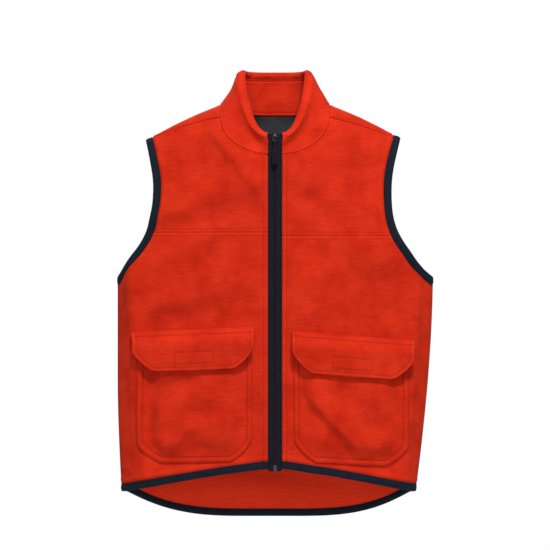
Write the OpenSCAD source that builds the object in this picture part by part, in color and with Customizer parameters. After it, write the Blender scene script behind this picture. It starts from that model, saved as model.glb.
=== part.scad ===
// Blaze orange fleece vest, zipped up, as it hangs by its shoulders. Left is x < 0.
// Millimetres, +Z up, front towards -Y, origin inside the neck at shoulder height.
// The cloth is drawn on one body shape: every panel is a patch of it, with its own thickness.

/* [Body] */
// Half width of the left side at the underarm
half_width_left = 274; // [250:1:300]
// Half width of the right side at the underarm
half_width_right = 275; // [250:1:300]
// How much the left side draws in towards the hem
taper_left = 7; // [0:1:30]
// How much the right side draws in towards the hem
taper_right = 31; // [0:1:45]
// Distance from the middle plane to the front or the back at the centre
half_depth = 50; // [35:1:70]
// Loss of half depth for each millimetre away from the centre
depth_slope = 0.1; // [0.05:0.01:0.12]
// Radius over which the shoulders round off
shoulder_round = 70; // [50:1:90]
// Fall of the shoulder line for each millimetre outwards
shoulder_slope = 0.484; // [0.3:0.01:0.6]

/* [Cloth] */
// Thickness of the fleece
fleece = 3; // [2:0.5:4]
// Width of the binding round the armholes and the hem
binding_width = 13; // [8:1:18]
// How far the binding stands proud of the fleece, each side
binding_proud = 1; // [0.5:0.1:1.5]

/* [Lengths] */
// Height of the hem at the centre front
hem_front_z = -629; // [-680:1:-600]
// Height of the hem at the sides
hem_side_z = -674; // [-700:1:-650]
// Height of the tail at the centre back
tail_z = -727; // [-760:1:-700]
// Height of the seam across the left chest
chest_seam_left_z = -224; // [-240:1:-200]
// Height of the seam across the right chest
chest_seam_right_z = -230; // [-240:1:-200]
// Height of the seam across the back
back_seam_z = -150; // [-165:1:-120]

/* [Armholes] */
// Distance of the left armhole's edge from the centre where it is narrowest
armhole_left_x = 208; // [190:1:220]
// Distance of the right armhole's edge from the centre where it is narrowest
armhole_right_x = 200; // [190:1:220]
// How late the left armhole sweeps out to the underarm
armhole_left_sweep = 1.65; // [1.4:0.05:3]
// How late the right armhole sweeps out to the underarm
armhole_right_sweep = 2.5; // [1.4:0.05:3]
// Height where the armhole is narrowest
armhole_waist_z = -170; // [-190:1:-150]
// Drop from there to the underarm
armhole_drop = 130; // [110:1:140]

/* [Neck and collar] */
// Half width of the neck seam
neck_half = 96; // [85:1:105]
// Depth of the neck seam at the front
neck_front = 92; // [75:1:100]
// Depth of the neck seam at the back
neck_back = 14; // [8:1:20]
// Half width of the collar's top edge
collar_top_half = 59; // [50:1:70]
// Height of the collar's top edge at the front
collar_front_z = -54; // [-62:1:-38]
// Height of the collar's top edge at the back
collar_back_z = 63; // [50:1:75]

/* [Pockets] */
// Width of each pocket
pocket_width = 192; // [160:1:205]
// Width of each flap
flap_width = 202; // [170:1:210]
// Depth of the left pocket from the flap's seam
pocket_left_depth = 227; // [190:1:235]
// Depth of the right pocket from the flap's seam
pocket_right_depth = 220; // [190:1:235]
// Size of the cut bottom corners of the pocket
pocket_corner = 38; // [20:1:50]
// Height of the flap
flap_height = 66; // [58:1:80]
// Size of the cut bottom corners of the flap
flap_corner = 34; // [15:1:38]
// How far the pocket stands off the chest inside
pocket_gap = 10; // [8:0.5:14]
// Distance from the flap's seam down to the pocket's mouth
mouth_drop = 27; // [26:1:40]

/* [Zip] */
// Distance from the zip's centre line to the fleece each side
zip_half = 13; // [10:0.5:16]
// Spacing of the zip's teeth
tooth_pitch = 4; // [3:0.5:6]
// Length of the pull tab
tab_length = 42; // [30:1:55]
// Width of the pull tab
tab_width = 11; // [8:1:14]

/* [Hidden] */
$fn = 32;

FRONT = -1;
BACK = 1;
LEFT = -1;
RIGHT = 1;
BLAZE = [0.84, 0.17, 0.09];
NAVY = [0.09, 0.09, 0.14];
CHARCOAL = [0.2, 0.21, 0.24];
METAL = [0.7, 0.7, 0.72];

// Sharpness of the turn at the side seams
side_power = 12;
side_root = 0.4;
// Steps across a panel, down the yoke's armhole, down to the underarm, and from there to the hem
steps_wide = 9;
steps_yoke = 10;
steps_arm = 5;
steps_low = 6;
// Gap between pieces that lie on or beside each other
joint_gap = 0.3;

function mix(a, b, t) = a + (b - a) * t;
function unit(t) = max(0, min(1, t));
function ease(t) = unit(t) * unit(t) * (3 - 2 * unit(t));

// ---- the body shape ----

// Height of the top line of the shoulder
function ridge(x) = -shoulder_slope * (abs(x) - neck_half);

// Half width of the body at a height
function half_width(x, z) = x < 0
    ? half_width_left - taper_left * pow(unit((-490 - z) / 185), 1.5)
    : half_width_right - taper_right * pow(unit((-300 - z) / 380), 1.7);

// Distance from the middle plane to the cloth, before the shoulder rounds it
function depth(way, x) = way == FRONT
    ? half_depth - depth_slope * max(0, abs(x) - zip_half)
    : half_depth - depth_slope * (sqrt(x * x + 3600) - 60);

function side_turn(x, z) = pow(max(0, 1 - pow(abs(x) / half_width(x, z), side_power)), side_root);

// Point of the body shape at x and z, moved out along the cloth's own thickness by d
function body_point(way, x, z, d = 0) =
    let (
        below = max(0, ridge(x) - z),
        up = max(0, 1 - below / shoulder_round),
        out = sqrt(1 - up * up)
    )
    [x * (1 + d / half_width(x, z)), way * (depth(way, x) + d) * side_turn(x, z) * out, z + d * up];

// The turn over the shoulder as an angle: 0 on the ridge, below 0 in front, above 0 behind
function turn_of(way, x, z) =
    let (below = max(0, ridge(x) - z))
    way * (below < shoulder_round
        ? acos(1 - below / shoulder_round)
        : 90 + (below - shoulder_round) * 180 / PI / shoulder_round);
function drop_of(turn) = abs(turn) < 90
    ? shoulder_round * (1 - cos(turn))
    : shoulder_round * (1 + (abs(turn) - 90) * PI / 180);
function turn_point(x, turn, d = 0) =
    body_point(turn < 0 ? FRONT : BACK, x, ridge(x) - drop_of(turn), d);

// ---- edges of the cloth ----

// Distance of the armhole's edge from the centre, moved in under the binding by inset
function armhole(z, inset, side) =
    let (
        waist = (side == RIGHT ? armhole_right_x : armhole_left_x) - inset,
        wide = side == RIGHT ? half_width_right : half_width_left,
        sweep = side == RIGHT ? armhole_right_sweep : armhole_left_sweep,
        s = (armhole_waist_z - z) / (armhole_drop + 1.3 * inset)
    )
    s >= 1 ? abs(half_width(side, z))
    : s > 0 ? mix(waist, wide, pow(s, sweep))
    : waist + 17 * pow((z - armhole_waist_z) / 106, 2);
function armhole_top(inset, side) = (side == RIGHT ? -59.3 : -62.6) + 5.3 * inset / 13;
function armhole_bottom(inset) = armhole_waist_z - armhole_drop - 1.3 * inset;

// Height at an inset that matches a height z on the fleece's own edge, under the binding
function height_at(z, inset, side) =
    let (
        upper = z > armhole_waist_z,
        own = upper ? armhole_top(binding_width, side) : armhole_bottom(binding_width),
        end = upper ? armhole_top(inset, side) : armhole_bottom(inset)
    )
    mix(armhole_waist_z, end, (z - armhole_waist_z) / (own - armhole_waist_z));
// Heights of the points down the fleece's edge at the armhole: yoke, then panel
function chest_seam(side) = side == LEFT ? chest_seam_left_z : chest_seam_right_z;
function yoke_end(way, side) = way == FRONT ? chest_seam(side) : back_seam_z;
function yoke_heights(way, side) =
    let (
        first = way == FRONT ? shoulder_end_z : armhole_top(binding_width, side) - 2,
        n = way == FRONT ? steps_yoke : steps_arm - 1
    )
    [for (i = [0:n]) mix(first, yoke_end(way, side), i / n)];
function panel_heights(way, side) =
    [for (i = [0:steps_arm])
        mix(yoke_end(way, side), armhole_bottom(binding_width), 1 - pow(1 - i / steps_arm, 2))];

// Point on the hem: share 0 at the centre, 1 at the side seam, raised by lift
function hem_height(way, share, lift) = way == FRONT
    ? mix(hem_front_z, hem_side_z, pow(share, 1.2)) + lift
    : mix(tail_z, hem_side_z, pow(share, 3.5)) + lift;

// Neck seam: 0 at the centre front, 90 on the left ridge of the shoulder, 180 at the centre back
function neck_x(a) = -neck_half * sin(a);
function neck_z(a) = cos(a) > 0 ? -neck_front * pow(cos(a), 0.68) : neck_back * cos(a);
function neck_way(a) = cos(a) > 0 ? FRONT : BACK;
function neck_turn(a) = turn_of(neck_way(a), neck_x(a), neck_z(a));
// Where the neck seam meets the zip and the shoulder seam
neck_start = asin(zip_half / neck_half);
neck_shoulder = 82;
neck_near = 120;
front_angles = [for (i = [0:6]) mix(neck_start, neck_shoulder, i / 6)];
back_angles = concat(
    [for (i = [0:5]) mix(neck_shoulder, neck_near, i / 5)],
    [for (i = [1:5]) mix(neck_near, 180, i / 5)]
);
half_angles = concat(front_angles, [for (i = [1:len(back_angles) - 1]) back_angles[i]]);
neck_angles = concat(half_angles, [for (i = [len(half_angles) - 2:-1:0]) 360 - half_angles[i]]);
shoulder_end_z = -59.5;

// ---- closed solids from grids of points ----

module between(outer, inner) {
    rows = len(outer);
    cols = len(outer[0]);
    half = rows * cols;
    points = [for (g = [outer, inner]) for (row = g) for (p = row) p];
    function at(g, r, c) = g * half + r * cols + c;
    function quad(a, b, c, d) = [[a, b, c], [a, c, d]];
    faces = concat(
        [for (r = [0:rows - 2]) for (c = [0:cols - 2])
            for (t = quad(at(0, r, c), at(0, r, c + 1), at(0, r + 1, c + 1), at(0, r + 1, c))) t],
        [for (r = [0:rows - 2]) for (c = [0:cols - 2])
            for (t = quad(at(1, r, c), at(1, r + 1, c), at(1, r + 1, c + 1), at(1, r, c + 1))) t],
        [for (r = [0:rows - 2]) for (t = concat(
            quad(at(0, r, 0), at(0, r + 1, 0), at(1, r + 1, 0), at(1, r, 0)),
            quad(at(0, r, cols - 1), at(1, r, cols - 1), at(1, r + 1, cols - 1), at(0, r + 1, cols - 1))
        )) t],
        [for (c = [0:cols - 2]) for (t = concat(
            quad(at(0, 0, c), at(1, 0, c), at(1, 0, c + 1), at(0, 0, c + 1)),
            quad(at(0, rows - 1, c), at(0, rows - 1, c + 1), at(1, rows - 1, c + 1), at(1, rows - 1, c))
        )) t]
    );
    polyhedron(points, faces);
}

// A closed band: the section's corners, each a ring of points, joined round the loop
module ring_band(corners) {
    n = len(corners[0]);
    k = len(corners);
    points = [for (c = corners) for (p = c) p];
    polyhedron(points, [for (j = [0:k - 1]) for (i = [0:n - 1])
        for (t = [
            [j * n + i, j * n + (i + 1) % n, ((j + 1) % k) * n + (i + 1) % n],
            [j * n + i, ((j + 1) % k) * n + (i + 1) % n, ((j + 1) % k) * n + i]
        ]) t]);
}

// Steps that crowd together at the far end
function crowd(n) = [for (i = [0:n]) sin(90 * i / n)];

// ---- fleece panels ----

// Strip between an inner and an outer path, both lists of [x, turn]
function strip(inner, outer, d) = [for (i = [0:len(inner) - 1])
    [for (s = crowd(steps_wide))
        turn_point(mix(inner[i][0], outer[i][0], s), mix(inner[i][1], outer[i][1], s), d)]];

// Edge of the front yoke along the neck and then the zip, a little below the shoulder seam
function yoke_inner(side) = concat(
    [for (i = [6:-1:0]) let (a = front_angles[i] - (i == 6 ? joint_gap : 0))
        [-side * neck_x(a), neck_turn(a)]],
    [for (i = [1:4]) let (z = mix(neck_z(neck_start), chest_seam(side), i / 4))
        [side * zip_half, turn_of(FRONT, zip_half, z)]]
);
function yoke_outer(side) =
    let (heights = yoke_heights(FRONT, side))
    [for (i = [0:steps_yoke])
        let (z = heights[i] - (i == 0 ? joint_gap : 0), x = armhole(z, binding_width, side))
        [side * x, turn_of(FRONT, x, z)]];

module front_yoke(side) {
    color(BLAZE)
    between(
        strip(yoke_inner(side), yoke_outer(side), side * -fleece / 2 - fleece / 2),
        strip(yoke_inner(side), yoke_outer(side), side * fleece / 2 - fleece / 2)
    );
}

// Heights of a panel's rows at the side
function side_heights(way, side) =
    let (under = armhole_bottom(binding_width), low = hem_side_z + binding_width)
    concat(panel_heights(way, side), [for (i = [1:steps_low]) mix(under, low, i / steps_low)]);

// Points of a panel from its middle edge out to the armhole or the side seam
function panel_row(way, side, z_side, middle_x, d) =
    let (
        top = yoke_end(way, side),
        t = (top - z_side) / (top - hem_side_z - binding_width),
        x_side = armhole(z_side, binding_width, side)
    )
    [for (s = crowd(steps_wide))
        body_point(way, side * mix(middle_x, x_side, s),
            mix(top, hem_height(way, s, binding_width), t), d)];

module front_panel(side) {
    function grid(d) = [for (z = side_heights(FRONT, side)) panel_row(FRONT, side, z, zip_half, d)];
    color(BLAZE)
    between(grid(side * -fleece / 2 - fleece / 2), grid(side * fleece / 2 - fleece / 2));
}

module back_panel() {
    function row(z, d) =
        let (left = panel_row(BACK, LEFT, z, 0, d), right = panel_row(BACK, RIGHT, z, 0, d))
        concat([for (i = [steps_wide:-1:1]) left[i]], right);
    function grid(d) = [for (z = side_heights(BACK, LEFT)) row(z, d)];
    color(BLAZE)
    between(grid(-fleece), grid(0));
}

// The yoke comes over the shoulders from the front seams to the seam across the back
function mirrored(list) = [for (i = [len(list) - 2:-1:0]) [-list[i][0], list[i][1]]];
function saddle_half(side) =
    let (
        first = armhole(shoulder_end_z, binding_width, side),
        low_x = armhole(back_seam_z, binding_width, side)
    )
    concat(
        [[-first, turn_of(FRONT, first, shoulder_end_z)]],
        [for (z = yoke_heights(BACK, side)) let (x = armhole(z, binding_width, side))
            [-x, turn_of(BACK, x, z)]],
        [for (i = [1:5]) let (x = low_x * (1 - i / 5)) [-x, turn_of(BACK, x, back_seam_z)]]
    );
neck_half_path = [for (a = back_angles) [neck_x(a), neck_turn(a)]];
saddle_inner = concat(neck_half_path, mirrored(neck_half_path));
saddle_outer = concat(saddle_half(LEFT), mirrored(saddle_half(RIGHT)));

module back_yoke() {
    color(BLAZE)
    between(strip(saddle_inner, saddle_outer, 0), strip(saddle_inner, saddle_outer, -fleece));
}

// The lining starts behind the shoulder seams
module yoke_lining() {
    function without_ends(list) = [for (i = [1:len(list) - 2]) list[i]];
    color(CHARCOAL)
    between(
        without_ends(strip(saddle_inner, saddle_outer, -fleece - joint_gap)),
        without_ends(strip(saddle_inner, saddle_outer, -fleece - joint_gap - 1.2))
    );
}

// ---- collar ----

function collar_base(a, d) = body_point(neck_way(a), neck_x(a), neck_z(a), d) + [0, 0, joint_gap];
function collar_top(a, d) =
    let (s = sin(a), c = cos(a))
    [-(collar_top_half + d) * sign(s) * pow(abs(s), 0.6),
        -4 - (half_depth - 4 + d) * sign(c) * pow(abs(c), 0.6),
        mix(collar_front_z, collar_back_z, ease((a < 180 ? a : 360 - a) / 100))];
// Rows from the neck seam to the top edge; start is the angle that the front ends keep clear of
function collar_grid(d, start) =
    let (top_start = asin(pow(zip_half / collar_top_half, 1 / 0.6)))
    [for (r = [0:4])
        [for (a = neck_angles)
            let (
                low = max(start, min(360 - start, a)),
                high = mix(top_start, 360 - top_start, (low - neck_start) / (360 - 2 * neck_start))
            )
            mix(collar_base(low, d), collar_top(high, d), r / 4)]];

module collar_outer() {
    color(BLAZE)
    between(collar_grid(0, neck_start), collar_grid(-fleece, neck_start));
}

// The inner layer ends beside the zip's tapes
module collar_inner() {
    start = asin((tape_wide + 2) / neck_half);
    color(BLAZE)
    between(
        collar_grid(-fleece - joint_gap, start),
        collar_grid(-2 * fleece - joint_gap, start)
    );
}

// ---- binding ----

// Ring round the armhole: down the front from the shoulder, then up the back
function armhole_ring(side, inset, d) =
    let (
        front = concat(yoke_heights(FRONT, side),
            [for (i = [1:steps_arm]) panel_heights(FRONT, side)[i]]),
        up = concat([for (i = [steps_arm - 1:-1:1]) panel_heights(BACK, side)[i]],
            [for (i = [steps_arm - 1:-1:0]) yoke_heights(BACK, side)[i]])
    )
    concat(
        [for (h = front) let (z = height_at(h, inset, side))
            body_point(FRONT, side * armhole(z, inset, side), z, d)],
        [for (h = up) let (z = height_at(h, inset, side))
            body_point(BACK, side * armhole(z, inset, side), z, d)]
    );

module armhole_binding(side) {
    edge = binding_width - joint_gap;
    rings = [
        armhole_ring(side, 0, -fleece - binding_proud),
        armhole_ring(side, edge, -fleece - binding_proud),
        armhole_ring(side, edge, binding_proud),
        armhole_ring(side, 0, binding_proud)
    ];
    color(NAVY)
    ring_band(side == RIGHT ? rings : [for (i = [3:-1:0]) rings[i]]);
}

function hem_line(way, side, middle_x, lift, d) =
    let (wide = half_width(side, hem_side_z + lift))
    [for (s = crowd(steps_wide))
        body_point(way, side * mix(middle_x, wide, s), hem_height(way, s, lift), d)];

// Binding between two grids, each a lower and an upper line
module bound(lines, side) {
    outer = [for (line = lines) line[0]];
    inner = [for (line = lines) line[1]];
    color(NAVY)
    between(side == RIGHT ? inner : outer, side == RIGHT ? outer : inner);
}

module hem_binding(side) {
    bound([for (lift = [binding_width - joint_gap, 0])
        [for (d = [binding_proud, -fleece - binding_proud])
            hem_line(FRONT, side, zip_half, lift, d)]], side);
}

module tail_binding() {
    function whole(lift, d) =
        let (left = hem_line(BACK, LEFT, 0, lift, d), right = hem_line(BACK, RIGHT, 0, lift, d))
        concat([for (i = [steps_wide:-1:1]) left[i]], right);
    bound([for (lift = [binding_width - joint_gap, 0])
        [for (d = [binding_proud, -fleece - binding_proud]) whole(lift, d)]], LEFT);
}

// ---- pockets ----

// Inner edge of the pocket, height and fall of the flap's seam, fall of the pocket's bottom
function pocket_x(side) = side == LEFT ? 40 : 33;
function seam_z(side) = side == LEFT ? -388 : -395;
function seam_fall(side) = side == LEFT ? 0.043 : 0.082;
function bottom_fall(side) = side == LEFT ? 0.03 : 0.065;
function pocket_depth(side) = side == LEFT ? pocket_left_depth : pocket_right_depth;

// Point over the chest at a distance along the flap's seam, below it, and off the cloth
function pocket_point(side, along, below, fall, d) =
    let (
        x = side * (pocket_x(side) + along),
        z = seam_z(side) - fall * along - below
    )
    body_point(FRONT, x / (1 + d / half_width(x, z)), z, d);

pocket_stand = [for (i = [0:10]) i / 10];
function pocket_grid(side, raised, flat) =
    [for (r = [0:8])
        let (below = mix(mouth_drop, pocket_depth(side), r / 8),
            cut = max(0, below - (pocket_depth(side) - pocket_corner)),
            low = ease((pocket_depth(side) - below) / 24))
        [for (t = pocket_stand)
            let (along = mix(cut, pocket_width - cut, t),
                edge = min(along - cut, pocket_width - cut - along),
                lift = low * ease(edge / 24),
                fall = mix(seam_fall(side), bottom_fall(side), r / 8))
            pocket_point(side, along, below, fall, mix(flat, raised, lift))]];

module pocket_bag(side) {
    out = pocket_grid(side, pocket_gap + fleece, joint_gap + fleece);
    in = pocket_grid(side, pocket_gap, joint_gap);
    color(BLAZE)
    between(side == RIGHT ? in : out, side == RIGHT ? out : in);
}

// Hook and loop tape, a thin pad between two distances off the cloth
module pad(side, along, wide, below, tall, low, high) {
    function face(d) = [for (b = [0, 1]) [for (t = [0:4])
        pocket_point(side, along + wide * t / 4, below + tall * b, seam_fall(side), d)]];
    between(face(side == RIGHT ? low : high), face(side == RIGHT ? high : low));
}

pad_along = 66;
pad_wide = 66;
pad_below = 36;
pad_tall = 20;
pad_thick = 1.2;
flap_overlap = 2;
loop_low = pocket_gap + fleece + 0.1;
hook_low = loop_low + pad_thick + joint_gap;
flap_low = hook_low + pad_thick + 0.1;
flap_thick = 4.5;

module pocket_loop_tape(side) {
    color(NAVY)
    pad(side, pad_along, pad_wide, pad_below, pad_tall, loop_low, loop_low + pad_thick);
}

module flap_hook_tape(side) {
    color(NAVY)
    pad(side, pad_along, pad_wide, pad_below, pad_tall, hook_low, hook_low + pad_thick);
}

// The flap stands off from its seam to clear the pocket's mouth, then hangs down
function flap_grid(side, thick) =
    [for (below = [0, 9, 18, mouth_drop - 1, flap_height - flap_corner, flap_height])
        let (cut = max(0, below - (flap_height - flap_corner)),
            d = mix(0.5, flap_low, unit(below / (mouth_drop - 1))) + thick)
        [for (t = pocket_stand)
            pocket_point(side, mix(cut, flap_width - cut, t) - flap_overlap, below, seam_fall(side), d)]];

module pocket_flap(side) {
    out = flap_grid(side, flap_thick);
    in = flap_grid(side, 0);
    color(BLAZE)
    between(side == RIGHT ? in : out, side == RIGHT ? out : in);
}

// ---- zip ----

zip_y = -half_depth + fleece + 1.9;
tape_thick = 1;
tape_edge = 3.6;
tape_wide = 20;
zip_top_z = -52;
zip_low_z = hem_front_z - 4;
teeth_top_z = -56;
teeth_low_z = hem_front_z + 12;
teeth_thick = 3.4;
teeth_near = 0.9;
slider_length = 14;
slider_z = teeth_top_z - slider_length / 2 - 1;
slider_half = 5.6;
plate_thick = 1.6;
pin_y = zip_y - 7.8;
pin_z = slider_z + 2;
pin_radius = 0.9;
eye_radius = 2.4;
link_length = 9;

module zip_tape(side) {
    color(NAVY)
    translate([side == RIGHT ? tape_edge : -tape_wide, zip_y - tape_thick / 2, zip_low_z])
        cube([tape_wide - tape_edge, tape_thick, zip_top_z - zip_low_z]);
}

module zip_teeth(side) {
    count = floor((teeth_top_z - teeth_low_z) / tooth_pitch) - 1;
    start = teeth_low_z + (side == RIGHT ? tooth_pitch / 2 : 0);
    spine = tape_edge - 1.2;
    comb = concat(
        [[tape_edge, teeth_low_z], [spine, teeth_low_z]],
        [for (i = [0:count - 1]) let (z = start + i * tooth_pitch)
            for (p = [[spine, z + 0.8], [teeth_near, z + 1.1], [teeth_near, z + 2.5], [spine, z + 2.8]]) p],
        [[spine, teeth_top_z], [tape_edge, teeth_top_z]]
    );
    color(NAVY)
    translate([0, zip_y + teeth_thick / 2, 0])
        rotate([90, 0, 0])
            linear_extrude(teeth_thick)
                polygon([for (p = comb) [side * p[0], p[1]]]);
}

module zip_top_stop(side) {
    color(METAL)
    translate([side == RIGHT ? teeth_near : -tape_edge, zip_y - teeth_thick / 2, teeth_top_z + 0.4])
        cube([tape_edge - teeth_near, teeth_thick, 3]);
}

module zip_insertion_pin() {
    color(METAL)
    translate([-2.9, zip_y - 1.2, zip_low_z + 1])
        cube([2.1, 2.4, teeth_low_z - zip_low_z - 1.2]);
}

module zip_retainer_box() {
    color(METAL)
    difference() {
        translate([-3.5, zip_y - 2.4, zip_low_z])
            cube([7, 4.8, 10]);
        translate([-3.2, zip_y - 1.5, zip_low_z + 0.8])
            cube([2.7, 3, 12]);
    }
}

module zip_slider() {
    inside = teeth_thick + 2 * joint_gap;
    rim = 1;
    rim_low = tape_thick / 2 + joint_gap;
    rim_deep = inside / 2 - rim_low + 0.2;
    rim_middle = rim_low + rim_deep / 2;
    color(METAL)
    union() {
            for (way = [-1, 1])
                translate([-slider_half, zip_y + way * (inside + plate_thick) / 2 - plate_thick / 2,
                    slider_z - slider_length / 2])
                    cube([2 * slider_half, plate_thick, slider_length]);
            for (way = [-1, 1], side = [-1, 1])
                translate([side * (slider_half - rim / 2) - rim / 2,
                    zip_y + way * rim_middle - rim_deep / 2, slider_z - slider_length / 2])
                    cube([rim, rim_deep, slider_length]);
            translate([-0.6, zip_y - inside / 2 - 0.1, slider_z + 2])
                cube([1.2, inside + 0.2, 4.5]);
            for (side = [-1, 1])
                translate([side * 3.3 - 0.7, pin_y - 1.4, pin_z - 2])
                    cube([1.4, zip_y - inside / 2 - pin_y + 0.4, 4]);
            translate([-3.3, pin_y, pin_z])
                rotate([0, 90, 0])
                    cylinder(h = 6.6, r = pin_radius);
    }
}

module zip_pull() {
    color(METAL)
    translate([-1.9, pin_y, pin_z])
        rotate([0, 90, 0])
            difference() {
                union() {
                    cylinder(h = 3.8, r = eye_radius);
                    translate([0, -0.8, 0])
                        cube([link_length, 1.6, 3.8]);
                }
                translate([0, 0, -1])
                    cylinder(h = 6, r = pin_radius + 0.25);
            }
}

module zip_pull_tab() {
    color(NAVY)
    translate([0, pin_y, pin_z - 6])
        rotate([90, 0, 0])
            translate([0, 0, -1.7])
                difference() {
                    linear_extrude(3.4)
                        hull() {
                            translate([-tab_width / 2 + 2, -2])
                                circle(2);
                            translate([tab_width / 2 - 2, -2])
                                circle(2);
                            translate([0, -tab_length + tab_width / 2])
                                circle(tab_width / 2);
                        }
                    translate([-2, -3.2, 0.7])
                        cube([4, 4, 2]);
                }
}

back_panel();
back_yoke();
front_yoke(LEFT);  // front_yoke_left
front_yoke(RIGHT);  // front_yoke_right
front_panel(LEFT);  // front_panel_left
front_panel(RIGHT);  // front_panel_right
yoke_lining();
collar_outer();
collar_inner();
armhole_binding(LEFT);  // armhole_binding_left
armhole_binding(RIGHT);  // armhole_binding_right
hem_binding(LEFT);  // hem_binding_left
hem_binding(RIGHT);  // hem_binding_right
tail_binding();
pocket_bag(LEFT);  // pocket_bag_left
pocket_bag(RIGHT);  // pocket_bag_right
pocket_loop_tape(LEFT);  // pocket_loop_tape_left
pocket_loop_tape(RIGHT);  // pocket_loop_tape_right
pocket_flap(LEFT);  // pocket_flap_left
pocket_flap(RIGHT);  // pocket_flap_right
flap_hook_tape(LEFT);  // flap_hook_tape_left
flap_hook_tape(RIGHT);  // flap_hook_tape_right
zip_tape(LEFT);  // zip_tape_left
zip_tape(RIGHT);  // zip_tape_right
zip_teeth(LEFT);  // zip_teeth_left
zip_teeth(RIGHT);  // zip_teeth_right
zip_top_stop(LEFT);  // zip_top_stop_left
zip_top_stop(RIGHT);  // zip_top_stop_right
zip_insertion_pin();
zip_retainer_box();
zip_slider();
zip_pull();
zip_pull_tab();
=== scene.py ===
"""Looks of the blaze fleece vest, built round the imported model.

The shape functions and sizes repeat those of part.scad. They are in millimetres and degrees, and a point
becomes metres when its mesh is made. Left is -X, the front faces -Y, and up is +Z.
"""

import math

import bmesh
import bpy
import numpy as np
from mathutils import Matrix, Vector


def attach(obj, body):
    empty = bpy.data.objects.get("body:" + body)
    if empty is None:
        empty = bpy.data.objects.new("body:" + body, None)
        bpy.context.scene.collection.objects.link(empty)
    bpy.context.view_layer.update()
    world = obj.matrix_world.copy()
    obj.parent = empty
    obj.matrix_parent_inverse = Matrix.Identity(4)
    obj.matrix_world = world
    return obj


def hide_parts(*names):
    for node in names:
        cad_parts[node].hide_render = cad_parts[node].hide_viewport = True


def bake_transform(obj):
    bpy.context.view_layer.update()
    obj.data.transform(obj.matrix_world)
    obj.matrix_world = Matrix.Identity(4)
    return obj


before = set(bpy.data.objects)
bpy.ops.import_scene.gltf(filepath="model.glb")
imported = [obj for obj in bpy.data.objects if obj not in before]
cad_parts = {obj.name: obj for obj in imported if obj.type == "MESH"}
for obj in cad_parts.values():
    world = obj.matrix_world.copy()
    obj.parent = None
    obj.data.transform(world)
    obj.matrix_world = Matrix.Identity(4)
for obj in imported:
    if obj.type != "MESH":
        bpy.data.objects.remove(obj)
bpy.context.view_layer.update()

FRONT, BACK = -1, 1
LEFT, RIGHT = -1, 1
NAMES = {LEFT: "left", RIGHT: "right"}

# ---- sizes, as in part.scad ----

HALF_WIDTH = {LEFT: 274, RIGHT: 275}
HALF_DEPTH = 50
DEPTH_SLOPE = 0.1
SHOULDER_ROUND = 70
SHOULDER_SLOPE = 0.484
SIDE_POWER = 12
SIDE_ROOT = 0.4
FLEECE = 3
BINDING = 13
HEM_FRONT, HEM_SIDE, TAIL = -629, -674, -727
CHEST_SEAM = {LEFT: -224, RIGHT: -230}
BACK_SEAM = -150
ARM_X = {LEFT: 208, RIGHT: 200}
ARM_SWEEP = {LEFT: 1.65, RIGHT: 2.5}
ARM_TOP = {LEFT: -62.6, RIGHT: -59.3}
ARM_WAIST, ARM_DROP = -170, 130
SHOULDER_END = -59.5
NECK_HALF, NECK_FRONT, NECK_BACK = 96, 92, 14
NECK_SHOULDER, NECK_NEAR = 82, 120
COLLAR_HALF, COLLAR_FRONT, COLLAR_BACK = 59, -54, 63
ZIP_HALF = 13
NECK_START = math.degrees(math.asin(ZIP_HALF / NECK_HALF))
POCKET_X = {LEFT: 40, RIGHT: 33}
POCKET_SEAM = {LEFT: -388, RIGHT: -395}
SEAM_FALL = {LEFT: 0.043, RIGHT: 0.082}
BOTTOM_FALL = {LEFT: 0.03, RIGHT: 0.065}
POCKET_DEPTH = {LEFT: 227, RIGHT: 220}
POCKET_WIDTH, POCKET_CORNER = 192, 38
FLAP_WIDTH, FLAP_HEIGHT, FLAP_CORNER, FLAP_OVERLAP = 202, 66, 34, 2
BAG_ROUND, FLAP_ROUND = 1.35, 1.3
POCKET_GAP, MOUTH_DROP = 10, 27
POCKET_STITCH, FLAP_STITCH = 8.0, 4.5
PAD_ALONG, PAD_WIDE, PAD_BELOW, PAD_TALL, PAD_THICK = 66, 66, 36, 20, 1.2
LOOP_LOW = POCKET_GAP + FLEECE + 0.1
HOOK_LOW = LOOP_LOW + PAD_THICK + 0.3
FLAP_LOW = HOOK_LOW + PAD_THICK + 0.1
FLAP_THICK = 4.5
ZIP_Y = -HALF_DEPTH + FLEECE + 1.9
ZIP_TOP, ZIP_LOW = -52, HEM_FRONT - 4
TEETH_TOP, TEETH_LOW = -56, HEM_FRONT + 12
SLIDER_Z = -64
PIN_Y, PIN_Z = ZIP_Y - 7.8, SLIDER_Z + 2
TAB_TOP, TAB_LOW = -68, -110
SEAM_STITCH, ZIP_STITCH = 5, 7  # how far the topstitching runs from a seam, and from the zip


# ---- the body shape, as in part.scad ----


def mix(a, b, t):
    return a + (b - a) * t


def unit(t):
    return np.clip(t, 0, 1)


def ease(t):
    return unit(t) ** 2 * (3 - 2 * unit(t))


def bell(value, centre, width):
    return np.exp(-(((value - centre) / width) ** 2))


def ridge(x):
    return -SHOULDER_SLOPE * (np.abs(x) - NECK_HALF)


def half_width(x, z):
    left = HALF_WIDTH[LEFT] - 7 * unit((-490 - z) / 185) ** 1.5
    right = HALF_WIDTH[RIGHT] - 31 * unit((-300 - z) / 380) ** 1.7
    return np.where(np.asarray(x) < 0, left, right)


def depth(way, x):
    front = HALF_DEPTH - DEPTH_SLOPE * np.maximum(0, np.abs(x) - ZIP_HALF)
    back = HALF_DEPTH - DEPTH_SLOPE * (np.sqrt(x * x + 3600) - 60)
    return np.where(way < 0, front, back)


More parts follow.
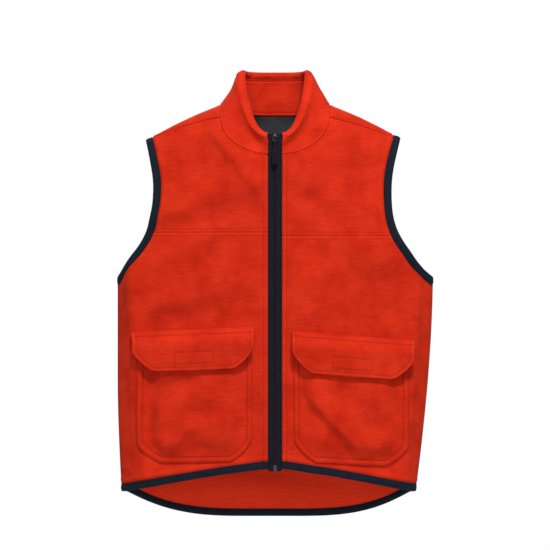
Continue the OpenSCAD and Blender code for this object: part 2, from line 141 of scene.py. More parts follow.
def body(way, x, z, d=0.0):
    """Point of the body shape at x and z, moved out by d."""
    x, z = np.asarray(x, float), np.asarray(z, float)
    below = np.maximum(0, ridge(x) - z)
    up = np.maximum(0, 1 - below / SHOULDER_ROUND)
    out = np.sqrt(1 - up * up)
    wide = half_width(x, z)
    side = np.maximum(0, 1 - (np.abs(x) / wide) ** SIDE_POWER) ** SIDE_ROOT
    y = way * (depth(way, x) + d) * side * out
    return np.stack(np.broadcast_arrays(x * (1 + d / wide), y, z + d * up), axis=-1)


def turn_of(way, x, z):
    below = np.maximum(0, ridge(x) - z)
    near = np.degrees(np.arccos(np.clip(1 - below / SHOULDER_ROUND, -1, 1)))
    far = 90 + np.degrees((below - SHOULDER_ROUND) / SHOULDER_ROUND)
    return way * np.where(below < SHOULDER_ROUND, near, far)


def height_of(x, turn):
    """Height of the point at x, turned that far over the shoulder."""
    angle = np.abs(turn)
    near = SHOULDER_ROUND * (1 - np.cos(np.radians(angle)))
    far = SHOULDER_ROUND * (1 + np.radians(angle - 90))
    return ridge(x) - np.where(angle < 90, near, far)


def armhole(z, inset, side):
    waist = ARM_X[side] - inset
    wide = HALF_WIDTH[side]
    s = (ARM_WAIST - z) / (ARM_DROP + 1.3 * inset)
    low = mix(waist, wide, unit(s) ** ARM_SWEEP[side])
    high = waist + 17 * ((z - ARM_WAIST) / 106) ** 2
    return np.where(s >= 1, half_width(side, z), np.where(s > 0, low, high))


def arm_top(inset, side):
    return ARM_TOP[side] + 5.3 * inset / 13


def arm_bottom(inset):
    return ARM_WAIST - ARM_DROP - 1.3 * inset


def height_at(z, inset, side):
    """Height at an inset that matches a height on the fleece's own edge, under the binding."""
    upper = z > ARM_WAIST
    own = np.where(upper, arm_top(BINDING, side), arm_bottom(BINDING))
    end = np.where(upper, arm_top(inset, side), arm_bottom(inset))
    return mix(ARM_WAIST, end, (z - ARM_WAIST) / (own - ARM_WAIST))


def hem_height(way, share, lift):
    if way == FRONT:
        return mix(HEM_FRONT, HEM_SIDE, share**1.2) + lift
    return mix(TAIL, HEM_SIDE, share**3.5) + lift


def neck(angle):
    """x, z and side of the neck seam: 0 at the centre front, 180 at the centre back."""
    s, c = np.sin(np.radians(angle)), np.cos(np.radians(angle))
    z = np.where(c > 0, -NECK_FRONT * np.abs(c) ** 0.68, NECK_BACK * c)
    return -NECK_HALF * s, z, np.where(c > 0, FRONT, BACK)


# ---- how the hanging cloth drapes ----

# Each fold: its crest from (x, z) to (x, z), its height, and its width above and below the crest
CHEST_FOLDS = (
    ((-190, -345), (-40, -312), 3.0, 58, 20),
    ((-95, -62), (-18, -158), 2.7, 26, 13),
    ((-185, -190), (-60, -150), 2.6, 46, 17),
    ((30, -128), (150, -196), 2.2, 40, 20),
    ((60, -300), (215, -255), 2.8, 60, 26),
    ((20, -372), (120, -330), 2.2, 50, 22),
    ((-240, -350), (-222, -600), 3.0, 12, 34),
    ((242, -360), (226, -610), 2.6, 34, 12),
    ((-255, -310), (-120, -235), 2.4, 30, 22),
    ((200, -290), (100, -225), 2.0, 34, 24),
    ((20, -560), (60, -632), 2.4, 22, 16),
    ((70, -634), (190, -652), 1.8, 14, 12),
    ((-190, -640), (-60, -628), 1.8, 14, 12),
)
BACK_FOLDS = (
    ((-190, -330), (-40, -400), 4.0, 50, 26),
    ((180, -300), (50, -390), 4.4, 46, 28),
    ((-120, -480), (90, -520), 3.2, 60, 34),
    ((-220, -610), (60, -655), 2.8, 40, 24),
    ((-60, -40), (-150, -120), 2.2, 22, 20),
    ((70, -44), (150, -128), 2.0, 24, 18),
)
POCKET_FOLDS = {
    LEFT: (
        ((-192, -610), (-150, -562), 2.4, 18, 7),
        ((-212, -548), (-130, -508), 1.8, 20, 16),
        ((-140, -560), (-50, -538), 2.0, 12, 24),
        ((-166, -566), (-120, -600), -1.8, 16, 16),
        ((-205, -492), (-150, -480), -1.4, 12, 12),
    ),
    RIGHT: (
        ((58, -504), (150, -600), 3.4, 34, 8),
        ((40, -510), (128, -606), -1.5, 9, 20),
        ((120, -500), (196, -556), -1.3, 18, 18),
    ),
}
FOLD_STRENGTH = 2.3
SIDE_FADE, ZIP_FADE, SHOULDER_FADE = 34, 24, 50  # over how far the folds set in


def fold_field(folds, x, z):
    total = 0.0
    for start, end, height, above, below in folds:
        run = np.subtract(end, start)
        length = np.hypot(*run)
        ex, ez = run / length
        if ex < 0 or (ex == 0 and ez < 0):
            ex, ez, start = -ex, -ez, end
        along = (x - start[0]) * ex + (z - start[1]) * ez
        across = (z - start[1]) * ex - (x - start[0]) * ez
        past = np.maximum(0, np.abs(along - length / 2) - length / 2) / (0.3 * length)
        width = np.where(across > 0, above, below)
        total = total + FOLD_STRENGTH * height * np.exp(-((across / width) ** 2) - past**2)
    return total


def unevenness(x, z):
    """Slow waves in every direction, well under a millimetre high."""
    total = 0.0
    waves = ((71, 23, 0.3), (-53, 61, 1.7), (37, -47, 2.9), (29, 31, 4.1), (97, -18, 5.3), (-19, 41, 0.8))
    for run_x, run_z, phase in waves:
        size = math.hypot(run_x, run_z)
        total = total + size / 160 * np.sin(x / run_x * 1.9 + z / run_z * 1.3 + phase)
    return 0.42 * total


def shoulder_fullness(x, z):
    """The shoulder's line rounds up a little between the collar and the armhole."""
    along = unit((np.abs(x) - NECK_HALF) / 126)
    return 3.0 * np.sin(math.pi * along) * np.exp(-np.maximum(0, ridge(x) - z) / 30)


def drape(way, x, z):
    """How far the cloth stands out from the plain body shape; nothing at the zip and the side seams."""
    folds = np.where(way < 0, fold_field(CHEST_FOLDS, x, z), fold_field(BACK_FOLDS, x, z))
    side = ease((half_width(x, z) - np.abs(x)) / SIDE_FADE)
    shoulder = ease((ridge(x) - z - 4) / SHOULDER_FADE)
    near_zip = np.where(way < 0, ease((np.abs(x) - ZIP_HALF) / ZIP_FADE), 1)
    return (folds + unevenness(x, z)) * near_zip * side * shoulder + shoulder_fullness(x, z)


def cloth(way, x, z, d=0.0):
    return body(way, x, z, d + drape(way, x, z))


def over_front(x, z, d):
    """Like cloth on the front, but standing off straight forward."""
    return cloth(FRONT, x / (1 + d / half_width(x, z)), z, d)


# ---- grids and meshes ----


def unit_vectors(vectors):
    return vectors / np.maximum(np.linalg.norm(vectors, axis=-1, keepdims=True), 1e-9)


def lengths(points):
    """Distance along the last but one axis from its start."""
    steps = np.linalg.norm(np.diff(points, axis=-2), axis=-1)
    start = np.zeros(steps.shape[:-1] + (1,))
    return np.concatenate([start, np.cumsum(steps, axis=-1)], axis=-1)


def ticks(length, fine_at=(), fine=1.0, coarse=3.6, reach=11):
    """Shares of a length, closer together near each place of fine_at."""
    at = np.linspace(0, length, 3000)
    closer = np.zeros_like(at)
    for place in fine_at:
        closer = np.maximum(closer, bell(at, place, reach))
    count = np.concatenate([[0], np.cumsum(np.diff(at) / (coarse - (coarse - fine) * closer[1:]))])
    whole = max(2, int(round(count[-1])))
    return np.interp(np.linspace(0, count[-1], whole + 1), count, at) / length


def measured(path):
    """Parameters of a path, 0 to 1, and the distance along it at each."""
    raw = (1 - np.cos(np.linspace(0, math.pi, 5000))) / 2
    return raw, lengths(path(raw))


def path_length(path):
    return measured(path)[1][-1]


def even(path, shares):
    """Parameters of a path that put points at these shares of its length."""
    raw, along = measured(path)
    return np.interp(np.asarray(shares) * along[-1], along, raw)


def edge_distances(points):
    across = lengths(points)
    down = lengths(points.transpose(1, 0, 2)).T
    return {"top": down, "bottom": down[-1:] - down, "left": across, "right": across[:, -1:] - across}


def seam(distance, stitch=None, groove=1.5):
    """Relief beside a seam: a groove, a soft roll, and the furrow under any topstitching."""
    relief = 0.8 * bell(distance, 3.0, 1.7) - groove * bell(distance, 0, 1.4)
    if stitch:
        relief += 0.3 * bell(distance, stitch + 3, 2) - 0.9 * bell(distance, stitch, 1.2)
    return relief


def pinch(distance):
    """Cloth drawn down where binding is sewn over its edge."""
    return 0.5 * bell(distance, 7, 4.0) - 0.9 * bell(distance, 0, 3.0)


def add_piece(name, points, faces, finish, part="garment", node=True, attributes=None):
    """Makes a mesh from points in millimetres. With node, it stands for the CAD node of its name."""
    faces = [list(face) for face in faces]
    quads = np.array([face for face in faces if len(face) == 4])
    a, b, c, d = (points[quads[:, k]] for k in range(4))
    if np.sum(np.cross(a, b) * c) + np.sum(np.cross(a, c) * d) < 0:
        faces = [face[::-1] for face in faces]
    look = name + "_look" if node else name
    mesh = bpy.data.meshes.new(look)
    mesh.from_pydata((points * 0.001).tolist(), [], faces)
    mesh.polygons.foreach_set("use_smooth", [True] * len(mesh.polygons))
    for key, values in (attributes or {}).items():
        layer = mesh.attributes.new(key, "FLOAT", "POINT")
        layer.data.foreach_set("value", np.asarray(values, np.float32))
    material, slot = finish
    mesh.materials.append(material)
    piece = bpy.data.objects.new(look, mesh)
    bpy.context.scene.collection.objects.link(piece)
    if node:
        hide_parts(name)
    if part:
        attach(piece, part)
    return piece


def grid_faces(rows, cols, start=0, wrap=False):
    """Quads of a grid of points. With wrap, each row is a ring."""
    r, c = np.meshgrid(np.arange(rows - 1), np.arange(cols if wrap else cols - 1), indexing="ij")
    r, c = r.ravel(), c.ravel()
    after = (c + 1) % cols
    return start + np.stack([r * cols + c, r * cols + after, (r + 1) * cols + after, (r + 1) * cols + c], 1)


def ring_faces(first, second, count):
    """Quads between two rings of count points."""
    now, after = np.arange(count), np.roll(np.arange(count), -1)
    return np.stack([first + now, first + after, second + after, second + now], 1)


def shell(name, outer, inner, finish, painted_shading=None, inside=0.0, rounding=0.7, **more):
    """A closed sheet between two grids of points, with rounded edges."""
    rows, cols = outer.shape[:2]
    index = np.arange(rows * cols).reshape(rows, cols)
    rim = np.concatenate([index[0, :-1], index[:-1, -1], index[-1, :0:-1], index[:0:-1, 0]])
    within = np.clip(rim // cols, 1, rows - 2) * cols + np.clip(rim % cols, 1, cols - 2)
    flat_outer, flat_inner = outer.reshape(-1, 3), inner.reshape(-1, 3)
    away = flat_outer[rim] - flat_outer[within]
    middle, half = (flat_outer[rim] + flat_inner[rim]) / 2, (flat_outer[rim] - flat_inner[rim]) / 2
    size = np.linalg.norm(half, axis=1, keepdims=True)
    away -= half * np.sum(away * half, axis=1, keepdims=True) / np.maximum(size**2, 1e-9)
    away = unit_vectors(away) * size * rounding
    rings = [middle + half * math.cos(turn) + away * math.sin(turn) for turn in np.radians([45, 90, 135])]
    points = np.concatenate([flat_outer, flat_inner] + rings)
    faces = [grid_faces(rows, cols), grid_faces(rows, cols, rows * cols)[:, ::-1]]
    starts = [2 * rows * cols + k * len(rim) + np.arange(len(rim)) for k in range(3)]
    loops = [rim] + starts + [rim + rows * cols]
    for near, far in zip(loops, loops[1:]):
        faces.append(np.stack([near, far, np.roll(far, -1), np.roll(near, -1)], 1))
    shade = np.zeros(len(points))
    # painted shading: the outer face takes the given values, and the inner face takes one value that paints
    # it paler
    shade[: rows * cols] = 0 if painted_shading is None else painted_shading.ravel()
    shade[rows * cols : 2 * rows * cols] = inside
    return add_piece(name, points, np.concatenate(faces), finish, attributes={"painted_shading": shade}, **more)


THREAD_PITCH, THREAD_LENGTH, THREAD_RADIUS = 3.4, 2.5, 0.34
CAPSULE_SIDES = 6


def capsule():
    """Points and faces of one stitch, a unit long and a unit in radius."""
    sides = CAPSULE_SIDES
    turns = np.radians(np.arange(0, 360, 360 / sides))
    points = [(-0.5, 0, 0)]
    for at, wide in ((-0.36, 0.6), (0.0, 1.0), (0.36, 0.6)):
        points += [(at, wide * math.cos(t), wide * math.sin(t)) for t in turns]
    points = np.array(points + [(0.5, 0, 0)])
    faces = []
    for i in range(sides):
        low, high = 1 + i, 1 + (i + 1) % sides
        far_low, far_high = low + 2 * sides, high + 2 * sides
        faces += [[0, high, low], [3 * sides + 1, far_low, far_high]]
        for ring in (0, sides):
            faces.append([ring + low, ring + high, ring + sides + high, ring + sides + low])
    return points, faces


def stitches(name, lines, thread=None, lift=0.1, part="garment"):
    """Short thread capsules along lines of (points, outward directions)."""
    shape, shape_faces = capsule()
    all_points, faces, start = [], [], 0
    for line, outward in lines:
        run = lengths(line)
        middles = np.arange(THREAD_PITCH, run[-1] - THREAD_PITCH / 2, THREAD_PITCH)

        def along(values, at):
            return np.stack([np.interp(at, run, values[:, k]) for k in range(3)], 1)

        centre = along(line, middles)
        tangent = unit_vectors(along(line, middles + 0.5) - centre)
        out = along(outward, middles)
        out = unit_vectors(out - tangent * np.sum(out * tangent, axis=1, keepdims=True))
        placed = (centre + out * lift)[:, None]
        placed = placed + tangent[:, None] * shape[None, :, :1] * THREAD_LENGTH
        placed = placed + np.cross(out, tangent)[:, None] * shape[None, :, 1:2] * THREAD_RADIUS
        placed = placed + out[:, None] * shape[None, :, 2:] * THREAD_RADIUS
        all_points.append(placed.reshape(-1, 3))
        for _ in middles:
            faces += [[start + v for v in face] for face in shape_faces]
            start += len(shape)
    return add_piece(name, np.concatenate(all_points), faces, thread or red_thread, part=part, node=False)


def inset_line(points, outward, edge, distance):
    """The line on a grid at a distance from one of its edges, with its outward directions."""
    if edge in ("top", "bottom"):
        points, outward = points.transpose(1, 0, 2), outward.transpose(1, 0, 2)
    if edge in ("bottom", "right"):
        points, outward = points[:, ::-1], outward[:, ::-1]
    run = lengths(points)

    def at_distance(grid):
        line = [[np.interp(distance, r, row[:, k]) for k in range(3)] for r, row in zip(run, grid)]
        return np.array(line)

    return at_distance(points), at_distance(outward)


def prism(outline, low, high, bevel):
    """Points and faces of a bevelled plate: an outline of (x, z) points between two values of y."""
    shape = bmesh.new()
    face = shape.faces.new([shape.verts.new((x, low, z)) for x, z in outline])
    grown = bmesh.ops.extrude_face_region(shape, geom=[face])
    moved = [v for v in grown["geom"] if isinstance(v, bmesh.types.BMVert)]
    bmesh.ops.translate(shape, vec=(0, high - low, 0), verts=moved)
    bmesh.ops.recalc_face_normals(shape, faces=shape.faces)
    sharp = [e for e in shape.edges if e.calc_face_angle(0) > 0.6]
    bmesh.ops.bevel(shape, geom=sharp, offset=bevel, segments=3, affect="EDGES", profile=0.5)
    bmesh.ops.triangulate(shape, faces=[f for f in shape.faces if len(f.verts) > 4])
    shape.verts.ensure_lookup_table()
    points = np.array([v.co[:] for v in shape.verts])
    faces = [[v.index for v in f.verts] for f in shape.faces]
    shape.free()
    return points, faces


def box(low, high, bevel):
    (x0, y0, z0), (x1, y1, z1) = low, high
    return prism([(x0, z0), (x1, z0), (x1, z1), (x0, z1)], y0, y1, bevel)


def slab(corners, thick):
    """Points and faces of a flat plate lying across X, from its outline."""
    near = np.array(corners, float)
    count = len(near)
    faces = ring_faces(0, count, count).tolist()
    faces += [list(range(count))[::-1], list(range(count, 2 * count))]
    return np.concatenate([near, near + np.array([thick, 0, 0])]), faces


def tube(path, radius, sides=10, closed=False):
    """Points and faces of a round wire along a path; radius may be a number or one for each point."""
    path = np.asarray(path, float)
    count = len(path)
    tangent = np.roll(path, -1, 0) - np.roll(path, 1, 0) if closed else np.gradient(path, axis=0)
    side = unit_vectors(np.cross(unit_vectors(tangent), (0.31, 0.93, 0.19)))
    up = np.cross(side, unit_vectors(tangent))
    turns = np.linspace(0, 2 * math.pi, sides, endpoint=False)[None, :, None]
    spokes = side[:, None] * np.cos(turns) + up[:, None] * np.sin(turns)
    points = (path[:, None] + np.broadcast_to(radius, (count,))[:, None, None] * spokes).reshape(-1, 3)
    faces = grid_faces(count, sides, wrap=True).tolist()
    last = (count - 1) * sides
    if closed:
        return points, faces + ring_faces(last, 0, sides).tolist()
    return points, faces + [list(range(sides))[::-1], list(range(last, last + sides))]


def joined(name, parts, finish, **more):
    """One piece from several (points, faces) pairs, each closed."""
    faces, start = [], 0
    for points, theirs in parts:
        faces += [[start + v for v in face] for face in theirs]
        start += len(points)
    add_piece(name, np.concatenate([points for points, _ in parts]), faces, finish, **more)


# ---- materials ----


class Shader:
    """A material and the few kinds of node that it is built from. Texture space is in metres."""

    def __init__(self, name, roughness, metallic=0.0, sheen=0.0, sheen_tint=(1, 1, 1), specular=0.5):
        self.material = bpy.data.materials.new(name)
        self.material.use_nodes = True
        self.tree = self.material.node_tree
        self.surface = self.tree.nodes["Principled BSDF"]
        settings = {
            "Roughness": roughness,
            "Metallic": metallic,
            "Sheen Weight": sheen,
            "Sheen Roughness": 0.45,
            "Sheen Tint": sheen_tint,
            "Specular IOR Level": specular,
        }
        for key, value in settings.items():
            self.feed(self.surface.inputs[key], value)
        self.place = self.node("ShaderNodeTexCoord").outputs["Object"]

    def node(self, kind, **inputs):
        node = self.tree.nodes.new(kind)
        for key, value in inputs.items():
            self.feed(node.inputs[key.replace("_", " ")], value)
        return node

    def feed(self, socket, value):
        if isinstance(value, bpy.types.NodeSocket):
            self.tree.links.new(value, socket)
        elif socket.type == "RGBA":
            socket.default_value = (*value, 1)
        else:
            socket.default_value = value

    def noise(self, scale, detail=2.0, stretch=(1, 1, 1), roughness=0.55):
        place = self.node("ShaderNodeMapping", Vector=self.place, Scale=stretch).outputs[0]
        made = self.node("ShaderNodeTexNoise", Vector=place, Scale=scale, Detail=detail, Roughness=roughness)
        return made.outputs["Fac"]

    def math(self, operation, a, b=0.0):
        node = self.tree.nodes.new("ShaderNodeMath")
        node.operation = operation
        self.feed(node.inputs[0], a)
        self.feed(node.inputs[1], b)
        return node.outputs[0]

    def wave(self, value, period):
        return self.math("SINE", self.math("MULTIPLY", value, 2 * math.pi / period))

    def weighted(self, a, share_a, b, share_b):
        return self.math("ADD", self.math("MULTIPLY", a, share_a), self.math("MULTIPLY", b, share_b))

    def ramp(self, value, low, high, to_low=0.0, to_high=1.0):
        ends = {"From_Min": low, "From_Max": high, "To_Min": to_low, "To_Max": to_high}
        return self.node("ShaderNodeMapRange", Value=value, **ends).outputs[0]

    def blend(self, share, a, b, kind="MIX"):
        node = self.tree.nodes.new("ShaderNodeMix")
        node.data_type = "RGBA"
        node.blend_type = kind
        for index, value in ((0, share), (6, a), (7, b)):
            self.feed(node.inputs[index], value)
        return node.outputs[2]

    def mottled(self, scale, dark, light, detail=2, low=0.3):
        """Two shades of a colour, mixed by noise."""
        return self.blend(self.ramp(self.noise(scale, detail), low, 1 - low), dark, light)

    def attribute(self, name):
        node = self.tree.nodes.new("ShaderNodeAttribute")
        node.attribute_name = name
        return node.outputs["Fac"]

    def axis(self, letter):
        return self.node("ShaderNodeSeparateXYZ", Vector=self.place).outputs[letter]

    def bump(self, height, distance, strength=1.0, under=None):
        node = self.node("ShaderNodeBump", Height=height, Strength=strength, Distance=distance)
        if under is not None:
            self.feed(node.inputs["Normal"], under)
        return node.outputs[0]

    def finish(self, colour, normal=None, roughness=None):
        for key, value in (("Base Color", colour), ("Normal", normal), ("Roughness", roughness)):
            if value is not None:
                self.feed(self.surface.inputs[key], value)
        return self.material


def fleece_material():
    """Brushed fleece: short nap lying in fine level streaks, a little mottled, with painted shade in the
    seams and painted highlight on the rolls and inner faces.
    """
    s = Shader("fleece", 0.93, sheen=0.2, sheen_tint=(1.0, 0.3, 0.16), specular=0.08)
    streak = s.noise(620, 3, stretch=(0.09, 0.3, 1))
    fine = s.noise(1500, 2, stretch=(0.35, 0.6, 1))
    painted_shading = s.attribute("painted_shading")
    colour = s.mottled(26, (0.59, 0.0185, 0.005), (0.79, 0.036, 0.0105), detail=3)
    # painted shade where the painted shading value is low: grooves and stitch furrows
    colour = s.blend(s.ramp(painted_shading, -1.3, -0.1, 0.6, 0), colour, (0.3, 0.008, 0.003))
    # painted highlight where the value is high: rolls, edges and the inner faces
    colour = s.blend(s.ramp(painted_shading, 0.15, 2.4, 0, 0.9), colour, (0.98, 0.05, 0.015))
    shaded = s.blend(1.0, colour, (0.87, 0.79, 0.79), "MULTIPLY")
    colour = s.blend(s.ramp(streak, 0.36, 0.66), shaded, colour)
    colour = s.blend(s.ramp(fine, 0.5, 0.74, 0, 0.2), colour, (0.86, 0.075, 0.028))
    streaks = s.bump(s.weighted(streak, 0.9, fine, 0.35), 0.0012, 0.55)
    return s.finish(colour, s.bump(s.noise(900, 3), 0.0004, 0.5, streaks))


def binding_material():
    """Navy knitted tape with ribs across it, and painted shade at its stitched line and its edge against the
    fleece.
    """
    s = Shader("binding", 0.85, sheen=0.08, sheen_tint=(0.4, 0.55, 0.9), specular=0.18)
    knit = s.weighted(s.wave(s.attribute("along"), 1.35), 0.3, s.wave(s.attribute("across"), 0.9), 0.14)
    colour = s.mottled(140, (0.003, 0.0082, 0.017), (0.006, 0.0135, 0.026), detail=3)
    colour = s.blend(s.ramp(knit, -0.1, 0.4, 0, 0.35), colour, (0.014, 0.02, 0.033))
    # painted shade where the painted shading value is low
    colour = s.blend(s.ramp(s.attribute("painted_shading"), -1, -0.1, 0.7, 0), colour, (0.004, 0.005, 0.01))
    return s.finish(colour, s.bump(s.noise(2400), 0.0002, 0.4, s.bump(knit, 0.0003, 0.6)))


def tape_material():
    """Woven zip tape: a fine herringbone with warp lines along it, and painted shade where its shading value
    is low.
    """
    s = Shader("zip_tape", 0.78, sheen=0.04, sheen_tint=(0.5, 0.6, 0.9), specular=0.2)
    x, z = s.axis("X"), s.axis("Z")
    zigzag = s.math("ADD", z, s.math("PINGPONG", x, 0.0022))
    weave = s.weighted(s.wave(x, 0.0011), 0.22, s.wave(zigzag, 0.0014), 0.28)
    colour = s.mottled(90, (0.0042, 0.005, 0.0125), (0.008, 0.009, 0.02))
    colour = s.blend(s.ramp(weave, 0.0, 0.5, 0, 0.4), colour, (0.0145, 0.016, 0.031))
    # painted shade in the centre gap, at the foot of the turned edge and under the fleece's edge
    colour = s.blend(s.ramp(s.attribute("painted_shading"), -1, -0.1, 0.8, 0), colour, (0.002, 0.0025, 0.005))
    return s.finish(colour, s.bump(weave, 0.0003, 0.7))


def lining_material():
    """Charcoal warp-knit mesh with small round holes in staggered rows."""
    s = Shader("lining", 0.6, sheen=0.1, sheen_tint=(0.7, 0.8, 1.0), specular=0.35)
    x, z = s.axis("X"), s.axis("Z")
    rising, falling = s.wave(s.math("ADD", x, z), 0.0044), s.wave(s.math("SUBTRACT", x, z), 0.0044)
    holes = s.ramp(s.math("MULTIPLY", rising, falling), 0.25, 0.5)
    threads = s.wave(z, 0.0009)
    colour = s.mottled(60, (0.007, 0.0105, 0.016), (0.013, 0.018, 0.026))
    colour = s.blend(s.ramp(threads, -0.4, 1, 0, 0.3), colour, (0.07, 0.075, 0.095))
    colour = s.blend(holes, colour, (0.006, 0.007, 0.01))
    height = s.math("SUBTRACT", s.math("MULTIPLY", threads, 0.15), holes)
    return s.finish(colour, s.bump(height, 0.0005, 0.8))


def pad_material():
    """Hook-and-loop tape: a dense fuzz over a woven ground."""
    s = Shader("hook_and_loop", 0.9, sheen=0.3, sheen_tint=(0.6, 0.65, 0.8), specular=0.15)
    loops = s.noise(1300, 4, roughness=0.7)
    colour = s.blend(s.ramp(loops, 0.35, 0.7), (0.006, 0.007, 0.012), (0.04, 0.045, 0.065))
    return s.finish(colour, s.bump(loops, 0.0012, 0.9))


def thread_material(name, low, high):
    """Twisted polyester thread."""
    s = Shader(name, 0.6, sheen=0.05, specular=0.35)
    return s.finish(s.mottled(3200, low, high, low=0.35), s.bump(s.noise(3200), 0.00015, 0.5))


def coil_material():
    """Nylon zip coil."""
    s = Shader("zip_coil", 0.38)
    colour = s.mottled(500, (0.006, 0.007, 0.011), (0.014, 0.016, 0.024))
    return s.finish(colour, s.bump(s.noise(2600), 0.0001, 0.3))


def metal_material(name, low, high, roughness):
    """Plated die-cast metal with rubbed spots and fine scratches."""
    s = Shader(name, roughness, metallic=1.0)
    rubbed = s.noise(700, 4, roughness=0.65)
    scratches = s.noise(2200, 2, stretch=(1, 1, 0.12))
    gloss = s.ramp(rubbed, 0.3, 0.7, roughness * 0.75, roughness * 1.35)
    return s.finish(s.blend(s.ramp(rubbed, 0.35, 0.65), low, high), s.bump(scratches, 0.00008, 0.4), gloss)


def rubber_material():
    """Matt moulded rubber."""
    s = Shader("pull_rubber", 0.66, specular=0.16)
    grain = s.noise(2000, 3)
    colour = s.mottled(240, (0.002, 0.0022, 0.0032), (0.005, 0.0055, 0.0075), detail=3)
    return s.finish(colour, s.bump(grain, 0.00012, 0.5), s.ramp(grain, 0.3, 0.7, 0.52, 0.72))


# Each finish is a material and the name of the material slot that it belongs to
fleece = fleece_material(), "fleece"
navy = binding_material(), "binding"
woven_tape = tape_material(), "zip_tape"
charcoal = lining_material(), "lining"
fuzz = pad_material(), "hook_and_loop"
red_thread = thread_material("fleece_thread", (0.36, 0.012, 0.005), (0.58, 0.03, 0.012)), "fleece"
navy_thread = thread_material("navy_thread", (0.006, 0.008, 0.016), (0.03, 0.036, 0.06)), "binding"
nylon = coil_material(), "zip_teeth"
# bright metal for the painted highlight on the slider's top
glint_metal = metal_material("zip_metal", (0.42, 0.42, 0.44), (0.74, 0.74, 0.76), 0.26), "slider_metal"
box_metal = metal_material("zip_box_metal", (0.025, 0.024, 0.03), (0.11, 0.105, 0.13), 0.4), "zip_metal"
dark_metal = metal_material("slider_metal", (0.012, 0.0125, 0.015), (0.05, 0.052, 0.06), 0.34)
slider_metal, stop_metal = (dark_metal, "slider_metal"), (dark_metal, "zip_metal")
rubber = rubber_material(), "pull_rubber"


# ---- fleece panels ----

WIDEST = -450  # the height at which a panel's columns are spaced
INSIDE_PAINTED_LIGHT = 2.4  # painted light: the brushed inner face is painted paler than the outer one, for the light that falls inside the vest


def fleece_sheet(name, place, relief, flat, area, rests_on="back_yoke", **more):
    """A sheet of fleece that place(d) puts d off the body; gives its outer face and outward directions."""
    outer = place(relief)
    # the relief also paints shade into its grooves and highlight onto its rolls
    piece = shell(name, outer, place(-FLEECE), fleece, painted_shading=relief, **more)
    return outer, place(relief + 1) - outer


def panel_grid(way, side, middle):
    """x and z of a panel from its middle edge out to the armhole or the side seam, row by row."""
    top = CHEST_SEAM[side] if way == FRONT else BACK_SEAM
    low = HEM_SIDE + BINDING
    under = (top - arm_bottom(BINDING)) / (top - low)
    rows = ticks(top - low, fine_at=(0, top - low))
    rows = np.unique(np.concatenate([rows, under + np.array([-0.008, -0.004, 0, 0.004])]))
    z_side = mix(top, low, rows)
    x_side = armhole(z_side, BINDING, side)

    def whole(u):
        return body(way, side * mix(middle, half_width(side, WIDEST), u), WIDEST)

    length = path_length(whole)
    straight = ticks(length, fine_at=(0, length) if middle else (length,))
    turned = ease((x_side / half_width(side, z_side) - 0.9) / 0.1)[:, None]
    share = mix(straight[None], even(whole, straight)[None], turned)
    x = side * mix(middle, x_side[:, None], share)
    return x, mix(top, hem_height(way, share, BINDING), rows[:, None])


def panel(name, way, x, z, relief_of, flat, area):
    def place(d):
        return cloth(way, x, z, d)

    relief = relief_of(edge_distances(place(0)))
    # painted light on the inner face, and the relief's painted shading on the outer one
    return fleece_sheet(name, place, relief, flat, area, inside=INSIDE_PAINTED_LIGHT)


def front_panel(side):
    def relief(to):
        sides = seam(to["left"], ZIP_STITCH, groove=0.5) + seam(to["right"])
        return seam(to["top"], groove=0.6) + sides + pinch(to["bottom"])

    name = "front_panel_" + NAMES[side]
    grid = panel_grid(FRONT, side, ZIP_HALF)
    faces = panel(name, FRONT, *grid, relief, (0.31, 0.46), 0.122)
    stitches(name + "_stitching", [inset_line(*faces, "left", ZIP_STITCH)])


def back_panel():
    def relief(to):
        return seam(to["top"]) + seam(to["left"]) + seam(to["right"]) + pinch(to["bottom"])

    halves = zip(panel_grid(BACK, LEFT, 0), panel_grid(BACK, RIGHT, 0))
    grid = [np.concatenate([left[:, :0:-1], right], axis=1) for left, right in halves]
    panel("back_panel", BACK, *grid, relief, (0.62, 0.57), 0.31)


def strip_points(inner, outer, share, d):
    """Points d off the body, in rows between two edges that are given as (x, turn)."""
    x = mix(inner[0][:, None], outer[0][:, None], share[None])
    turn = mix(inner[1][:, None], outer[1][:, None], share[None])
    return cloth(np.where(turn < 0, FRONT, BACK), x, height_of(x, turn), d)


YOKE_CORNER = 0.45  # share of the front yoke's rows that start at the neck, before the zip
YOKE_WIDTH = 185


